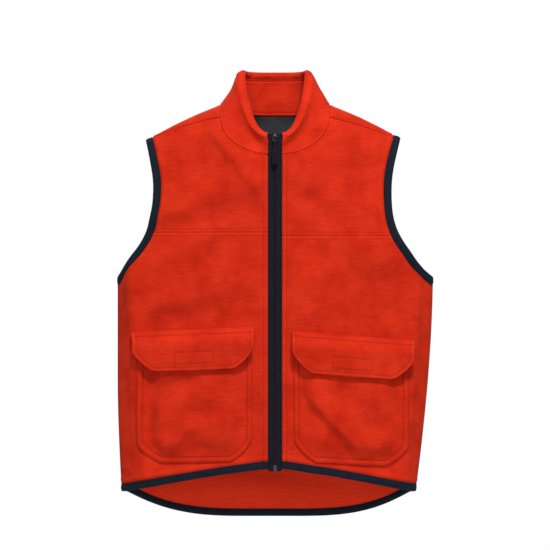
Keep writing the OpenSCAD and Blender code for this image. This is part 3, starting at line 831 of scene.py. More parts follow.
def front_yoke(side):
    chest = CHEST_SEAM[side]

    def outer_at(u):
        z = mix(SHOULDER_END - 0.3, chest, u)
        return armhole(z, BINDING, side), z

    def outer_path(u):
        x, z = outer_at(u)
        return body(FRONT, side * x, z)

    length = path_length(outer_path)
    rows = ticks(length, fine_at=(0, length))
    x, z = outer_at(even(outer_path, rows))
    outer = side * x, turn_of(FRONT, x, z)
    above = rows < YOKE_CORNER
    neck_x, neck_z, _ = neck(mix(NECK_SHOULDER - 0.3, NECK_START, unit(rows / YOKE_CORNER)))
    down = unit((rows - YOKE_CORNER) / (1 - YOKE_CORNER))
    in_x = np.where(above, -neck_x, ZIP_HALF)
    in_z = np.where(above, neck_z, mix(float(neck(NECK_START)[1]), chest, down))
    inner = side * in_x, turn_of(FRONT, in_x, in_z)
    share = ticks(YOKE_WIDTH, fine_at=(0, YOKE_WIDTH))
    to = edge_distances(strip_points(inner, outer, share, 0))
    at_neck = above[:, None]
    inner_edge = np.where(at_neck, seam(to["left"], groove=0.8), seam(to["left"], ZIP_STITCH, groove=0.5))
    ends = seam(to["top"]) + seam(to["bottom"], SEAM_STITCH, groove=0.5)
    hollow = np.where(at_neck, -NECK_HOLLOW * bell(to["left"], 0, 16), 0)

    def place(d):
        return strip_points(inner, outer, share, d + hollow)

    name = "front_yoke_" + NAMES[side]
    relief = ends + inner_edge + pinch(to["right"])
    points, outward = fleece_sheet(name, place, relief, (0.21, 0.24), 0.032)
    by_zip = ~above
    lines = [
        inset_line(points, outward, "bottom", SEAM_STITCH),
        inset_line(points[by_zip], outward[by_zip], "left", ZIP_STITCH),
    ]
    stitches(name + "_stitching", lines)


SADDLE_CORNER = 0.36  # share of the back yoke's rows that end at the armhole, before the seam across
SADDLE_LENGTH, SADDLE_WIDTH = 306, 140


def saddle_half(side, rows):
    """Outer edge of half the back yoke as (x, turn): over the shoulder, down the back, then across."""
    start = turn_of(FRONT, armhole(SHOULDER_END, BINDING, side), SHOULDER_END)
    end = turn_of(BACK, armhole(BACK_SEAM, BINDING, side), BACK_SEAM)
    turn = mix(start, end, unit(rows / SADDLE_CORNER))
    z = np.full_like(turn, -100.0)
    for _ in range(8):
        z = height_of(armhole(z, BINDING, side), turn)
    across = armhole(BACK_SEAM, BINDING, side) * (1 - unit((rows - SADDLE_CORNER) / (1 - SADDLE_CORNER)))
    x = np.where(rows < SADDLE_CORNER, armhole(z, BINDING, side), across)
    return x, np.where(rows < SADDLE_CORNER, turn, turn_of(BACK, x, BACK_SEAM))


def saddle(spacing):
    """The back yoke's inner and outer edges as (x, turn), and which rows end at the seam across the back."""
    rows = ticks(SADDLE_LENGTH, fine_at=(0, SADDLE_LENGTH * SADDLE_CORNER), coarse=spacing)
    far = (rows - SADDLE_CORNER) / (1 - SADDLE_CORNER)
    near = mix(NECK_SHOULDER, NECK_NEAR, rows / SADDLE_CORNER)
    angle = np.where(rows < SADDLE_CORNER, near, mix(NECK_NEAR, 180, far))
    neck_x, neck_z, _ = neck(angle)
    neck_turn = turn_of(np.where(angle < 90, FRONT, BACK), neck_x, neck_z)
    left_x, left_turn = saddle_half(LEFT, rows)
    right_x, right_turn = saddle_half(RIGHT, rows)

    def both(left, right):
        return np.concatenate([left, right[-2::-1]])

    inner = both(neck_x, -neck_x), both(neck_turn, neck_turn)
    outer = both(-left_x, right_x), both(left_turn, right_turn)
    return inner, outer, both(rows >= SADDLE_CORNER, rows >= SADDLE_CORNER)


def back_yoke():
    inner, outer, at_back = saddle(3.6)
    share = ticks(SADDLE_WIDTH, fine_at=(0, SADDLE_WIDTH))

    def place(d):
        return strip_points(inner, outer, share, d)

    to = edge_distances(place(0))
    shoulders = seam(to["top"], SEAM_STITCH) + seam(to["bottom"], SEAM_STITCH)
    outer_edge = np.where(at_back[:, None], seam(to["right"], SEAM_STITCH), pinch(to["right"]))
    relief = shoulders + seam(to["left"], groove=0.5) + outer_edge
    points, outward = fleece_sheet("back_yoke", place, relief, (0.5, 0.3), 0.067, "collar_outer")
    lines = [inset_line(points, outward, edge, SEAM_STITCH) for edge in ("top", "bottom")]
    lines.append(inset_line(points[at_back], outward[at_back], "right", SEAM_STITCH))
    stitches("back_yoke_stitching", lines)


def yoke_lining():
    inner, outer, _ = saddle(4.5)
    inner, outer = ([values[4:-4] for values in edge] for edge in (inner, outer))
    share = ticks(SADDLE_WIDTH, fine=3, coarse=4)
    faces = [strip_points(inner, outer, share, -FLEECE - d) for d in (0.3, 1.3)]
    piece = shell("yoke_lining", *faces, charcoal)


# ---- collar ----

ROLL = 6.8
ROLL_TURNS = np.radians(np.linspace(-25, 205, 18))
NECK_HOLLOW = 1.1
COLLAR_MIDDLE = -FLEECE - 0.15
COLLAR_POWER = 0.6  # below 1, so that the collar's top is squarer than an ellipse
INNER_START = math.degrees(math.asin(22 / NECK_HALF))


def collar_point(angle, rise, d):
    """Point of the collar wall: rise 0 at the neck seam, 1 at the top edge; d out from its outer face."""
    x, z, way = neck(angle)
    base = cloth(way, x, z, d) + np.array([0, 0, 0.3])
    top_start = math.degrees(math.asin((ZIP_HALF / COLLAR_HALF) ** (1 / COLLAR_POWER)))
    high = mix(top_start, 360 - top_start, (angle - NECK_START) / (360 - 2 * NECK_START))
    s, c = np.sin(np.radians(high)), np.cos(np.radians(high))
    top_x = -(COLLAR_HALF + d) * np.sign(s) * np.abs(s) ** COLLAR_POWER
    top_y = -4 - (HALF_DEPTH - 4 + d) * np.sign(c) * np.abs(c) ** COLLAR_POWER
    top_z = mix(COLLAR_FRONT, COLLAR_BACK, ease(np.minimum(high, 360 - high) / 100))
    top = np.stack(np.broadcast_arrays(top_x, top_y, top_z + 0 * d), axis=-1)
    return mix(base, top, np.asarray(rise)[..., None])


def collar_angles(start):
    def path(u):
        return collar_point(mix(start, 360 - start, u), np.full_like(u, 0.5), 0)

    length = path_length(path)
    return mix(start, 360 - start, even(path, ticks(length, fine_at=(0, length), coarse=3.2)))


def collar_height(angle):
    one = np.ones_like(angle)
    return np.linalg.norm(collar_point(angle, one, 0) - collar_point(angle, 0 * one, 0), axis=-1)


def collar_bulge(angle, rise):
    """Soft hollows and waves of the standing wall."""
    nearest = np.minimum(angle, 360 - angle)
    front = ease((100 - nearest) / 50) * ease((nearest - NECK_START) / 13)
    hollow = -(0.4 + 4.4 * front) * np.sin(math.pi * unit(rise) ** 1.3)
    waves = 0.9 * np.sin(np.radians(angle * 7 + 40)) + 0.6 * np.sin(np.radians(angle * 11))
    return hollow + waves * ease((nearest - NECK_START) / 24) * np.sin(math.pi * unit(rise)) ** 2


def collar_outer():
    """The wall, the roll over its top, and the edge tucked down inside."""
    angle = collar_angles(NECK_START)
    one = np.ones_like(angle)
    height = collar_height(angle)
    nearest = np.minimum(angle, 360 - angle)
    wall = ticks(60, fine_at=(0,), coarse=3.0)
    lean = ROLL * math.cos(ROLL_TURNS[0]) + COLLAR_MIDDLE
    rows = []
    for share in wall:
        rise = share * (1 - 1.6 * ROLL / height)
        d = collar_bulge(angle, share * one) + lean * ease((share - 0.5) / 0.5)
        d = d + seam(rise * height, groove=0.4)
        d = d - NECK_HOLLOW * ease((100 - nearest) / 50) * bell(rise * height, 0, 13)
        rows.append(collar_point(angle, rise, d))
    middle = collar_point(angle, one, COLLAR_MIDDLE)
    up = unit_vectors(middle - collar_point(angle, 0.8 * one, COLLAR_MIDDLE))
    out = unit_vectors(collar_point(angle, one, 0.0) - middle)
    centre = middle - up * ROLL
    from_zip = nearest - NECK_START
    soft = 1 + 0.07 * np.sin(np.radians(angle * 9 + 20)) + 0.05 * np.sin(np.radians(angle * 17))
    soft = (soft + 0.3 * bell(from_zip, 0, 30) - 0.35 * bell(from_zip, 0, 2.5))[:, None]
    for turn in ROLL_TURNS:
        rows.append(centre + out * ROLL * soft * math.cos(turn) + up * ROLL * math.sin(turn))
    for fall in (4.0, 5.5, 7.0, 8.2, 9.2):
        tuck = 8.9 - 2.4 * ease((fall - 2.6) / 6.6)
        rows.append(centre - up * fall - out * (tuck + COLLAR_MIDDLE))
    outer = np.stack(rows)
    normals = unit_vectors(np.cross(np.gradient(outer, axis=1), np.gradient(outer, axis=0)))
    outward = collar_point(angle, 0 * one, 1.0) - collar_point(angle, 0 * one, 0.0)
    normals *= np.sign(np.sum(normals[0] * outward))
    painted_shading = np.zeros(outer.shape[:2])
    # painted shade in the neck seam's groove and painted highlight on the roll beside it
    painted_shading[:6] = seam(lengths(outer.transpose(1, 0, 2)).T[:6])
    # painted highlight on the collar's roll, strongest beside the zip
    painted_shading[len(wall) : len(wall) + len(ROLL_TURNS)] = 0.9 * bell(from_zip, 0, 40) + 0.2
    shell("collar_outer", outer, outer - normals * 2.5, fleece, painted_shading=painted_shading)


def collar_inner():
    angle = collar_angles(INNER_START)
    height = collar_height(angle)
    top = 1 - (ROLL + 8.5) / height
    rise = ticks(50, fine_at=(0, 50), coarse=3.0)[:, None] * top[None]
    angles = np.broadcast_to(angle, rise.shape)
    relief = seam(rise * height, 6) + seam((top - rise) * height)
    bulge = collar_bulge(angles, rise / top) * 0.8
    face = collar_point(angles, rise, -2 * FLEECE - 0.3 + bulge - relief)
    back = collar_point(angles, rise, -FLEECE - 0.3 + bulge)
    # the relief also paints shade in the seams' grooves and highlight on their rolls
    shell("collar_inner", face, back, fleece, painted_shading=relief)
    line = collar_point(angle, 6 / height, -2 * FLEECE - 0.3 + 0.6)
    stitches("collar_inner_stitching", [(line, collar_point(angle, 6 / height, -9.0) - line)])


# ---- bound edges ----

SEWN_EDGE = 10.8  # where the binding's inner edge is stitched down


def binding_relief(inset):
    roll = 0.75 * np.sin(math.pi * unit(inset / 10.6)) ** 0.7
    return float(roll - 0.8 * bell(inset, SEWN_EDGE, 0.7))


def binding_section():
    """(inset, offset) points round the edge: outer face, sewn edge, inner face, fold."""
    across = (1.6, 2.8, 4.2, 5.6, 7, 8.4, 9.6, 10.3, SEWN_EDGE, 11.3, 12, 12.8)
    outer = [(i, 1.0 + binding_relief(i)) for i in across]
    sewn = [(13.4, 0.5), (13.5, -0.4), (13.5, -FLEECE + 0.4), (13.4, -FLEECE - 0.5)]
    inner = [(i, -FLEECE - 1.0 - binding_relief(i)) for i in across[::-1]]
    fold = [(0.6, -3.9), (0.1, -2.8), (0.0, -1.5), (0.1, -0.2), (0.6, 0.9)]
    return outer + sewn + inner + fold


def bound_edge(name, place, count, closed=False):
    """Binding swept along the path of count points that place(inset, offset) gives, and its stitching."""
    section = binding_section()
    sides = len(section)
    rings = np.stack([place(*point) for point in section], axis=1)
    faces = grid_faces(count, sides, wrap=True).tolist()
    last = (count - 1) * sides
    if closed:
        faces += ring_faces(last, 0, sides).tolist()
    else:
        faces += [list(range(sides))[::-1], list(range(last, last + sides))]
    inset = np.array(section)[:, 0]
    attributes = {
        "along": np.repeat(lengths(rings[:, 0]), sides),
        "across": np.tile(inset, count),
        # painted shade at the stitched line and at the edge against the fleece
        "painted_shading": np.tile(-0.9 * bell(inset, SEWN_EDGE, 0.8) - 0.7 * bell(inset, 13.4, 0.5), count),
    }
    add_piece(name, rings.reshape(-1, 3), faces, navy, attributes=attributes)
    lines = []
    for face, out in ((1.0, 1.0), (-FLEECE - 1.0, -1.0)):
        surface = face + out * binding_relief(SEWN_EDGE)
        line = place(SEWN_EDGE, surface)
        lines.append((line, place(SEWN_EDGE, surface + out) - line))
    stitches(name + "_stitching", lines, navy_thread, lift=0.16)


def armhole_binding(side):
    def edge(u):
        z = height_at(mix(arm_top(BINDING, side), arm_bottom(BINDING), u), 5, side)
        return body(FRONT, side * armhole(z, 5, side), z)

    share = even(edge, ticks(path_length(edge), fine=2.2, coarse=3.2))
    down = mix(arm_top(BINDING, side), arm_bottom(BINDING), share)
    heights = np.concatenate([down, down[-2:0:-1]])
    way = np.concatenate([np.full(len(down), FRONT), np.full(len(down) - 2, BACK)])

    def place(inset, offset):
        z = height_at(heights, inset, side)
        return cloth(way, side * armhole(z, inset, side), z, offset)

    bound_edge("armhole_binding_" + NAMES[side], place, len(heights), closed=True)


def hem_place(way, side, middle):
    """How many points a hem has from its middle to the side seam, and place(lift, offset) for them."""

    def at(shares, lift, offset):
        wide = half_width(side, HEM_SIDE + lift)
        return cloth(way, side * mix(middle, wide, shares), hem_height(way, shares, lift), offset)

    def path(u):
        return at(u, 0, 0)

    length = path_length(path)
    shares = even(path, ticks(length, fine_at=(length,), fine=1.6, coarse=3.2))
    return len(shares), lambda lift, offset: at(shares, lift, offset)


def hem_binding(side):
    count, place = hem_place(FRONT, side, ZIP_HALF - 0.6)
    bound_edge("hem_binding_" + NAMES[side], place, count)


def tail_binding():
    (left_count, left), (right_count, right) = (hem_place(BACK, side, 0) for side in (LEFT, RIGHT))

    def place(lift, offset):
        return np.concatenate([left(lift, offset)[:0:-1], right(lift, offset)])

    bound_edge("tail_binding", place, left_count + right_count - 1)


# ---- pockets ----

MOUTH_HEM, FLAP_TOP_STITCH = 18, 6.5


def pocket_point(side, along, below, d, fall=None):
    """Point over the chest at a distance along the flap's seam, below it, and off the cloth."""
    fall = SEAM_FALL[side] if fall is None else fall
    return over_front(side * (POCKET_X[side] + along), POCKET_SEAM[side] - fall * along - below, d)


def corner_cut(below, corner, power):
    """How far a corner has cut in, this far below its start: power 1 is a straight cut, 2 is round."""
    share = unit(np.asarray(below) / corner)
    return corner * (1 - (1 - share**power) ** (1 / power))


def pocket_outline(width, top, low, corner, power, inset=0.0):
    """Points (along, below) down one side, round the bottom and up the other, moved in by inset."""
    turn = corner * np.linspace(0, 1, 40) ** 0.7
    side = np.linspace((0, top), (0, low - corner), 60)[:-1]
    half = np.concatenate([side, np.stack([corner_cut(turn, corner, power), low - corner + turn], 1)])
    middle = np.linspace((corner, low), (width - corner, low), 60)[1:-1]
    line = np.concatenate([half, middle, half[::-1] * (-1, 1) + (width, 0)])
    ahead = unit_vectors(np.gradient(line, axis=0))
    return line + np.stack([ahead[:, 1], -ahead[:, 0]], 1) * inset


def outline_distance(outline, along, below):
    """Distance of each grid point from an open outline."""
    points = np.stack([along, below], -1)[..., None, :]
    start, run = outline[:-1], np.diff(outline, axis=0)
    share = unit(np.sum((points - start) * run, -1) / np.maximum(np.sum(run * run, -1), 1e-9))
    return np.min(np.linalg.norm(points - start - share[..., None] * run, axis=-1), axis=-1)


def cut_grid(width, rows, share, low, corner, power):
    """Along and below for each point of a patch whose two lower corners are cut."""
    cut = corner_cut(rows - (low - corner), corner, power)[:, None]
    return mix(cut, width - cut, share[None]), np.broadcast_to(rows[:, None], (len(rows), len(share)))


def sewn(surface, line):
    """A line of (along, below) points on surface(along, below, d), with its outward directions."""
    points = surface(*line.T, 0.0)
    return points, surface(*line.T, 1.0) - points


def pocket_bag(side):
    low = POCKET_DEPTH[side]
    tall = low - MOUTH_DROP

    def edge(inset):
        return pocket_outline(POCKET_WIDTH, MOUTH_DROP, low, POCKET_CORNER, BAG_ROUND, inset)

    outline = edge(0.0)

    def relief(to_edge, to_mouth):
        """A puffed border, its stitched furrow, then the loose bag with the mouth's hem."""
        border = 0.8 * np.sin(math.pi * unit(to_edge / POCKET_STITCH)) ** 0.8
        furrow = -1.2 * bell(to_edge, POCKET_STITCH, 1.3) - 0.5 * bell(to_edge, 1.6, 0.9)
        loose = (POCKET_GAP - 0.6) * ease((to_edge - POCKET_STITCH + 1) / 34)
        mouth = -0.7 * bell(to_mouth, MOUTH_HEM, 1.3) * ease((to_edge - POCKET_STITCH - 1) / 5)
        return 0.5 + FLEECE + border + furrow + loose + mouth

    def surface(along, below, d):
        to_edge = outline_distance(outline, along, below)
        fall = mix(SEAM_FALL[side], BOTTOM_FALL[side], unit((below - MOUTH_DROP) / tall))
        x = side * (POCKET_X[side] + along)
        z = POCKET_SEAM[side] - fall * along - below
        crease = np.clip(fold_field(POCKET_FOLDS[side], x, z), 1.5 - POCKET_GAP, 8)
        crease = crease * ease((to_edge - POCKET_STITCH) / 26) * ease((below - 66) / 20)
        return pocket_point(side, along, below, relief(to_edge, below - MOUTH_DROP) + crease + d, fall)

    rows = MOUTH_DROP + tall * ticks(tall, fine_at=(0, tall), fine=0.8, coarse=2.8, reach=14)
    share = ticks(POCKET_WIDTH, fine_at=(0, POCKET_WIDTH), fine=0.9, coarse=2.8, reach=14)
    grid = cut_grid(POCKET_WIDTH, rows, share, low, POCKET_CORNER, BAG_ROUND)
    to_edge = outline_distance(outline, *grid)
    thick = mix(FLEECE - 0.3, FLEECE, ease((to_edge - 10) / 20))
    outer = surface(*grid, 0.0)
    inner = outer - (surface(*grid, 1.0) - outer) * thick[..., None]
    # painted highlight on the puffed border; painted shade in the stitched furrow and at the edge
    furrow = bell(to_edge, POCKET_STITCH, 1.5) + bell(to_edge, 0, 1.6)
    painted_shading = 0.3 * bell(to_edge, 3, 2) - 0.95 * furrow
    name = "pocket_bag_" + NAMES[side]
    piece = shell(name, outer, inner, fleece, painted_shading=painted_shading, rounding=0.9)
    at = MOUTH_DROP + MOUTH_HEM
    hem = np.linspace((10, at), (POCKET_WIDTH - 10, at), 80)
    lines = [sewn(surface, line) for line in (edge(1.6), edge(POCKET_STITCH), hem)]
    stitches(name + "_stitching", lines)


def pad(name, side, low, part, seed):
    """A sewn-down rectangle of hook or loop tape. The pocket's faces out, and the flap's faces in."""
    along = PAD_ALONG + PAD_WIDE * ticks(PAD_WIDE, coarse=1.1)
    below = PAD_BELOW + PAD_TALL * ticks(PAD_TALL, coarse=1.1)
    a, b = np.meshgrid(along, below)
    edge_a = np.minimum(a - PAD_ALONG, PAD_ALONG + PAD_WIDE - a)
    edge_b = np.minimum(b - PAD_BELOW, PAD_BELOW + PAD_TALL - b)
    rough = 0.12 * np.random.default_rng(seed).standard_normal(a.shape)
    relief = rough - 0.35 * bell(np.minimum(edge_a, edge_b), 2.2, 0.8)
    facing_out = part == "garment"
    face = pocket_point(side, a, b, low + PAD_THICK + (relief if facing_out else 0))
    back = pocket_point(side, a, b, low - (0 if facing_out else relief))
    shell(name, face, back, fuzz, painted_shading=relief, part=part)


def patch_distance(along, below):
    """Distance on the flap from the rectangle of stitching over its hook tape."""
    out_along = np.abs(along - FLAP_OVERLAP - PAD_ALONG - PAD_WIDE / 2) - PAD_WIDE / 2
    out_below = np.abs(below - PAD_BELOW - PAD_TALL / 2) - PAD_TALL / 2
    return np.abs(np.maximum(out_along, out_below))


def pocket_flap(side):
    outline = pocket_outline(FLAP_WIDTH, 0, FLAP_HEIGHT, FLAP_CORNER, FLAP_ROUND)

    def relief(to_edge, below, to_patch):
        """Height of the outer face over the inner one."""
        roll = 0.35 * bell(to_edge, 1.8, 1.5) - 0.8 * bell(to_edge, FLAP_STITCH, 1.1)
        top = 0.6 * bell(below, 2.6, 1.6) - 0.9 * bell(below, FLAP_TOP_STITCH, 1.3)
        return FLAP_THICK + roll + top - 0.9 * bell(to_patch, 0, 1.3)

    def surface(along, below, d, outer=True):
        to_edge = outline_distance(outline, along, below)
        wave = 0.9 * np.sin(along / 24.0 + 0.6 * side) * ease((below - 50) / 16) * ease((to_edge + 4) / 10)
        clear = mix(0.5, FLAP_LOW, np.sin(math.pi / 2 * unit(below / (MOUTH_DROP - 1))))
        height = clear + np.maximum(wave, -0.2) + d
        if outer:
            height = height + relief(to_edge, below, patch_distance(along, below))
        return pocket_point(side, along - FLAP_OVERLAP, below, height)

    fine_rows = (0, FLAP_TOP_STITCH, FLAP_HEIGHT)
    rows = FLAP_HEIGHT * ticks(FLAP_HEIGHT, fine_at=fine_rows, fine=0.7, coarse=1.9, reach=7)
    share = ticks(FLAP_WIDTH, fine_at=(0, FLAP_WIDTH), fine=0.8, coarse=2.2, reach=12)
    grid = cut_grid(FLAP_WIDTH, rows, share, FLAP_HEIGHT, FLAP_CORNER, FLAP_ROUND)
    below = grid[1]
    to_edge = outline_distance(outline, *grid)
    # painted shade in the stitch furrows and along the top seam; painted highlight on the edge roll and the
    # top roll
    painted_furrow_shade = 0.6 * bell(to_edge, FLAP_STITCH, 1.2) + bell(patch_distance(*grid), 0, 1.4)
    painted_furrow_shade = painted_furrow_shade + bell(below, FLAP_TOP_STITCH, 1.4) + 0.6 * bell(below, 0, 1.0)
    painted_shading = 0.9 * bell(to_edge, 1.0, 1.3) + 0.4 * bell(below, 2.6, 1.8) - 0.8 * painted_furrow_shade
    near, far = PAD_ALONG + FLAP_OVERLAP, PAD_ALONG + FLAP_OVERLAP + PAD_WIDE
    high, low = PAD_BELOW, PAD_BELOW + PAD_TALL
    corners = [(near, high), (far, high), (far, low), (near, low), (near, high)]
    lines = [np.linspace((6, FLAP_TOP_STITCH), (FLAP_WIDTH - 6, FLAP_TOP_STITCH), 80)]
    lines.append(pocket_outline(FLAP_WIDTH, 8, FLAP_HEIGHT, FLAP_CORNER, FLAP_ROUND, FLAP_STITCH))
    lines += [np.linspace(a, b, 30) for a, b in zip(corners, corners[1:])]
    name = "pocket_flap_" + NAMES[side]
    faces = surface(*grid, 0.0), surface(*grid, 0.0, outer=False)
    flap = shell(name, *faces, fleece, painted_shading=painted_shading, part=None, rounding=0.95)
    thread = stitches(name + "_stitching", [sewn(surface, line) for line in lines], part=None)
    start, end = (tuple(pocket_point(side, POCKET_WIDTH / 2, at, 2.0) * 0.001) for at in (0.5, 13.0))
    for piece in (flap, thread):
        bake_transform(piece)


# ---- zip ----

# The tape's section as (distance from the centre, distance forward)
TAPE_SECTION = ((20, 0.5), (18.8, 0.55), (14, 0.5), (10, 0.5), (6.4, 0.5), (4.9, 0.62), (4.3, 0.95))
TAPE_SECTION += ((3.7, 1.45), (3.0, 1.72), (2.2, 1.8), (1.4, 1.7), (0.8, 1.4), (0.45, 0.95), (0.35, 0.5))
COIL_PITCH = 1.9


def zip_tape(side):
    """Tape with its turned edge standing forward over the coil, with painted shade in the gap at the centre,
    at the foot of the turned edge and under the fleece's edge.
    """
    x, front = np.array(TAPE_SECTION).T
    rows = np.linspace(ZIP_LOW, ZIP_TOP, 240)[:, None]
    ripple = 0.12 * np.sin(rows / 9.0) * ease((x - 5) / 4)
    low = mix(ZIP_LOW, HEM_FRONT + 4, ease((x - 10) / 3))
    z = mix(low, ZIP_TOP - 3, unit((rows - ZIP_LOW) / (ZIP_TOP - ZIP_LOW)))

    def face(out):
        return np.stack(np.broadcast_arrays(side * x, ZIP_Y - out - ripple, z), -1)

    back = np.where(x > 4.5, -0.5, front - 0.75)
    # painted shade: the centre gap, the foot of the turned edge, and under the fleece's edge
    painted_shading = -1.2 * bell(x, 0, 1.9) - 0.5 * bell(x, 5.2, 0.7) - 0.8 * bell(x, 10.5, 1.6)
    painted_shading = np.broadcast_to(painted_shading, z.shape)
    piece = shell("zip_tape_" + NAMES[side], face(front), face(back), woven_tape, painted_shading=painted_shading, rounding=0.8)


def zip_coil(side):
    """The coil of nylon behind the tape, hooked round its edge."""
    turns = np.arange(0, (TEETH_TOP - TEETH_LOW) / COIL_PITCH, 1 / 9)
    angle = 2 * math.pi * turns
    x = side * (2.25 + 1.2 * np.cos(angle))
    z = TEETH_LOW + COIL_PITCH * (turns + (0.5 if side == RIGHT else 0))
    path = np.stack([x, ZIP_Y + 0.35 + np.sin(angle), np.minimum(z, TEETH_TOP)], 1)
    joined("zip_teeth_" + NAMES[side], [tube(path, 0.34, sides=5)], nylon)


def zip_ends():
    for side in (LEFT, RIGHT):
        x0, x1 = sorted((side * 0.9, side * 3.6))
        stop = box((x0, ZIP_Y - 1.7, TEETH_TOP + 0.4), (x1, ZIP_Y + 1.7, TEETH_TOP + 3.4), 0.5)
        x, y = side * 3.4, ZIP_Y - 1.5
        clamp = tube(np.linspace((x, y, TEETH_TOP + 0.8), (x, y, TEETH_TOP + 3.0), 6), 0.35)
        joined("zip_top_stop_" + NAMES[side], [stop, clamp], stop_metal)
    pin = box((-2.9, ZIP_Y - 1.2, ZIP_LOW + 1), (-0.8, ZIP_Y + 1.2, TEETH_LOW - 0.2), 0.5)
    joined("zip_insertion_pin", [pin], stop_metal)
    parts = [box((-3.5, ZIP_Y - 2.4, ZIP_LOW), (3.5, ZIP_Y + 2.4, ZIP_LOW + 10), 0.7)]
    for z in (ZIP_LOW + 1.6, ZIP_LOW + 8.6):
        parts.append(tube(np.linspace((-2.9, ZIP_Y - 2.3, z), (2.9, ZIP_Y - 2.3, z), 9), 0.35))
    joined("zip_retainer_box", parts, box_metal)


def zip_slider():
    """Two plates with side rails and a divider between, two lugs that hold the pull's pin, and a chip of
    bright metal on top as a painted highlight.
    """
    half = [(2.9, 7.0), (4.4, 6.6), (5.3, 5.2), (5.6, 3.0), (5.5, 0.5), (5.0, -2.6), (4.4, -5.2), (3.7, -6.7)]
    outline = [(x, SLIDER_Z + z) for x, z in half] + [(2.6, SLIDER_Z - 7)]
    outline += [(-x, z) for x, z in outline[::-1]]
    parts = [prism(outline, ZIP_Y + low, ZIP_Y + low + 1.6, 0.45) for low in (-3.6, 2.0)]
    lug = [(0, 0), (0.6, 1.8), (2.0, 2.3), (3.4, 1.7), (4.2, 0), (3.4, -1.7), (2.0, -2.2), (0.6, -1.8)]
    foot = ZIP_Y - 3.4
    for side in (LEFT, RIGHT):
        for y in (ZIP_Y - 1.6, ZIP_Y + 1.6):
            parts.append(tube([(side * (x - 0.55), y, SLIDER_Z + z) for x, z in half[2:]], 0.55, sides=8))
        ring = [(side * 2.75, foot + (PIN_Y - foot) * a / 3.0, PIN_Z + b * 0.85) for a, b in lug]
        parts.append(slab(ring, side * 1.15))
    parts.append(tube(np.linspace((-4.3, PIN_Y, PIN_Z), (4.3, PIN_Y, PIN_Z), 9), 0.9, sides=14))
    parts.append(box((-0.6, ZIP_Y - 2.2, SLIDER_Z + 2), (0.6, ZIP_Y + 2.2, SLIDER_Z + 6.6), 0.25))
    joined("zip_slider", parts, slider_metal, part="slider")
    # painted highlight: a chip of bright metal on the dark slider's top, where a glint shows
    tip = [(x * 0.78, SLIDER_Z + 6.7 + z) for x, z in ((-1.5, -0.6), (1.5, -0.6), (1.2, 1.1), (-1.2, 1.1))]
    glint = prism(tip, ZIP_Y - 3.7, ZIP_Y - 2.2, 0.3)
    joined("zip_slider_glint", [glint], glint_metal, part="slider", node=False)


def grip(half, y, z, count, ends, middle):
    """A level ridge across the pull tab, thinner at its two ends."""
    radius = np.array([ends] + [middle] * (count - 2) + [ends])
    return tube(np.linspace((-half, y, z), (half, y, z), count), radius)


def zip_pull():
    turns = np.linspace(0, 2 * math.pi, 25)[:-1]
    eye = np.stack([0 * turns, PIN_Y + 1.75 * np.cos(turns), PIN_Z + 1.75 * np.sin(turns)], 1)
    points, faces = tube(eye, 0.62, closed=True)
    link = [(-1.9, PIN_Z - 1.9), (1.9, PIN_Z - 1.9), (1.7, PIN_Z - 9), (-1.7, PIN_Z - 9)]
    tongue = prism(link, PIN_Y - 0.8, PIN_Y + 0.8, 0.4)
    joined("zip_pull", [(points * (2.9, 1, 1), faces), tongue], slider_metal, part="pull")
    half = [(2.3, 0), (3.2, -1.5), (3.3, -8), (3.9, -12), (5.2, -16), (5.5, -20)]
    half = [(x, TAB_TOP + z) for x, z in half] + [(5.5, TAB_LOW + 6)]
    half += [(5.5 * math.cos(t), TAB_LOW + 5.5 - 5.5 * math.sin(t)) for t in np.radians((20, 40, 58, 74, 86))]
    outline = half + [(-x, z) for x, z in half[::-1]]
    parts = [prism(outline, PIN_Y - 1.7, PIN_Y + 1.7, 0.75)]
    for z in np.linspace(TAB_TOP - 21, TAB_LOW + 8, 5):
        parts.append(grip(3.4, PIN_Y - 1.55, z, 12, 0.3, 0.62))
    parts.append(grip(2.4, PIN_Y - 1.5, TAB_TOP - 2.4, 10, 0.25, 0.5))
    joined("zip_pull_tab", parts, rubber, part="pull")


# ---- the garment ----

for side in (LEFT, RIGHT):
    front_panel(side)
    front_yoke(side)
    armhole_binding(side)
    hem_binding(side)
    pocket_bag(side)
    pocket_flap(side)
    pad("pocket_loop_tape_" + NAMES[side], side, LOOP_LOW, "garment", 11)
    pad("flap_hook_tape_" + NAMES[side], side, HOOK_LOW, "flap_" + NAMES[side], 12)
    zip_tape(side)
    zip_coil(side)
back_panel()
back_yoke()
yoke_lining()
collar_outer()
collar_inner()
tail_binding()
zip_ends()
zip_slider()
zip_pull()


# ---- studio ----


def add_object(name, data, place):
    made = bpy.data.objects.new(name, data)
    made.location = place
    bpy.context.scene.collection.objects.link(made)
    return made


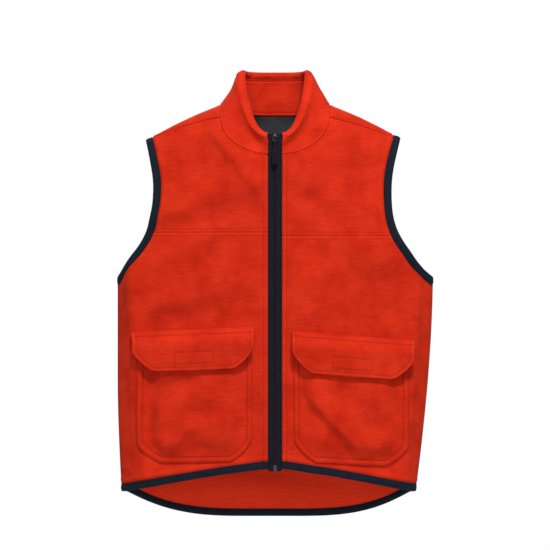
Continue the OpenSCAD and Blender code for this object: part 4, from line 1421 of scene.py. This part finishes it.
def area_light(name, place, target, width, height, power, colour=(1, 1, 1)):
    data = bpy.data.lights.new(name, "AREA")
    data.shape = "RECTANGLE"
    data.size, data.size_y = width, height
    data.energy = power
    data.color = colour
    light = add_object(name, data, place)
    light.rotation_euler = (Vector(target) - Vector(place)).to_track_quat("-Z", "Y").to_euler()


def studio():
    """White where the camera sees past the vest, dimmer as light, and four soft lamps."""
    scene = bpy.context.scene
    scene.view_settings.view_transform = "Standard"
    scene.world = bpy.data.worlds.new("studio")
    scene.world.use_nodes = True
    tree = scene.world.node_tree
    choose = tree.nodes.new("ShaderNodeMixShader")
    rays = tree.nodes.new("ShaderNodeLightPath")
    tree.links.new(rays.outputs["Is Camera Ray"], choose.inputs[0])
    backgrounds = tree.nodes["Background"], tree.nodes.new("ShaderNodeBackground")
    for index, (background, strength) in enumerate(zip(backgrounds, (0.24, 1.0))):
        background.inputs["Color"].default_value = (1, 1, 1, 1)
        background.inputs["Strength"].default_value = strength
        tree.links.new(background.outputs[0], choose.inputs[index + 1])
    tree.links.new(choose.outputs[0], tree.nodes["World Output"].inputs["Surface"])
    area_light("key", (0.3, -1.7, 1.8), (0, 0, -0.35), 0.5, 0.4, 58, (1, 0.985, 0.96))
    area_light("front", (-0.3, -2.6, 0.2), (0, 0, -0.3), 1.0, 1.0, 8)
    area_light("low", (0.1, -1.5, -0.95), (0, 0.05, -0.68), 0.6, 0.3, 2.2)
    area_light("rim", (-0.6, 1.9, 1.2), (0, 0, -0.3), 1.6, 1.2, 30)


def floor():
    shape = bmesh.new()
    bmesh.ops.create_circle(shape, cap_ends=True, segments=96, radius=0.85)
    mesh = bpy.data.meshes.new("floor")
    shape.to_mesh(mesh)
    shape.free()
    pale = Shader("floor", 0.85)
    mesh.materials.append(pale.finish(pale.mottled(3, (0.8, 0.8, 0.8), (0.84, 0.84, 0.84), detail=3)))
    add_object("floor", mesh, (0, 0.05, -1.06))


def camera():
    data = bpy.data.cameras.new("camera")
    data.lens, data.sensor_width = 85, 36
    data.clip_end = 50
    view = add_object("camera", data, (0, -2.27, -0.297))
    view.rotation_euler = (math.radians(90), 0, 0)
    bpy.context.scene.camera = view


studio()
floor()
camera()
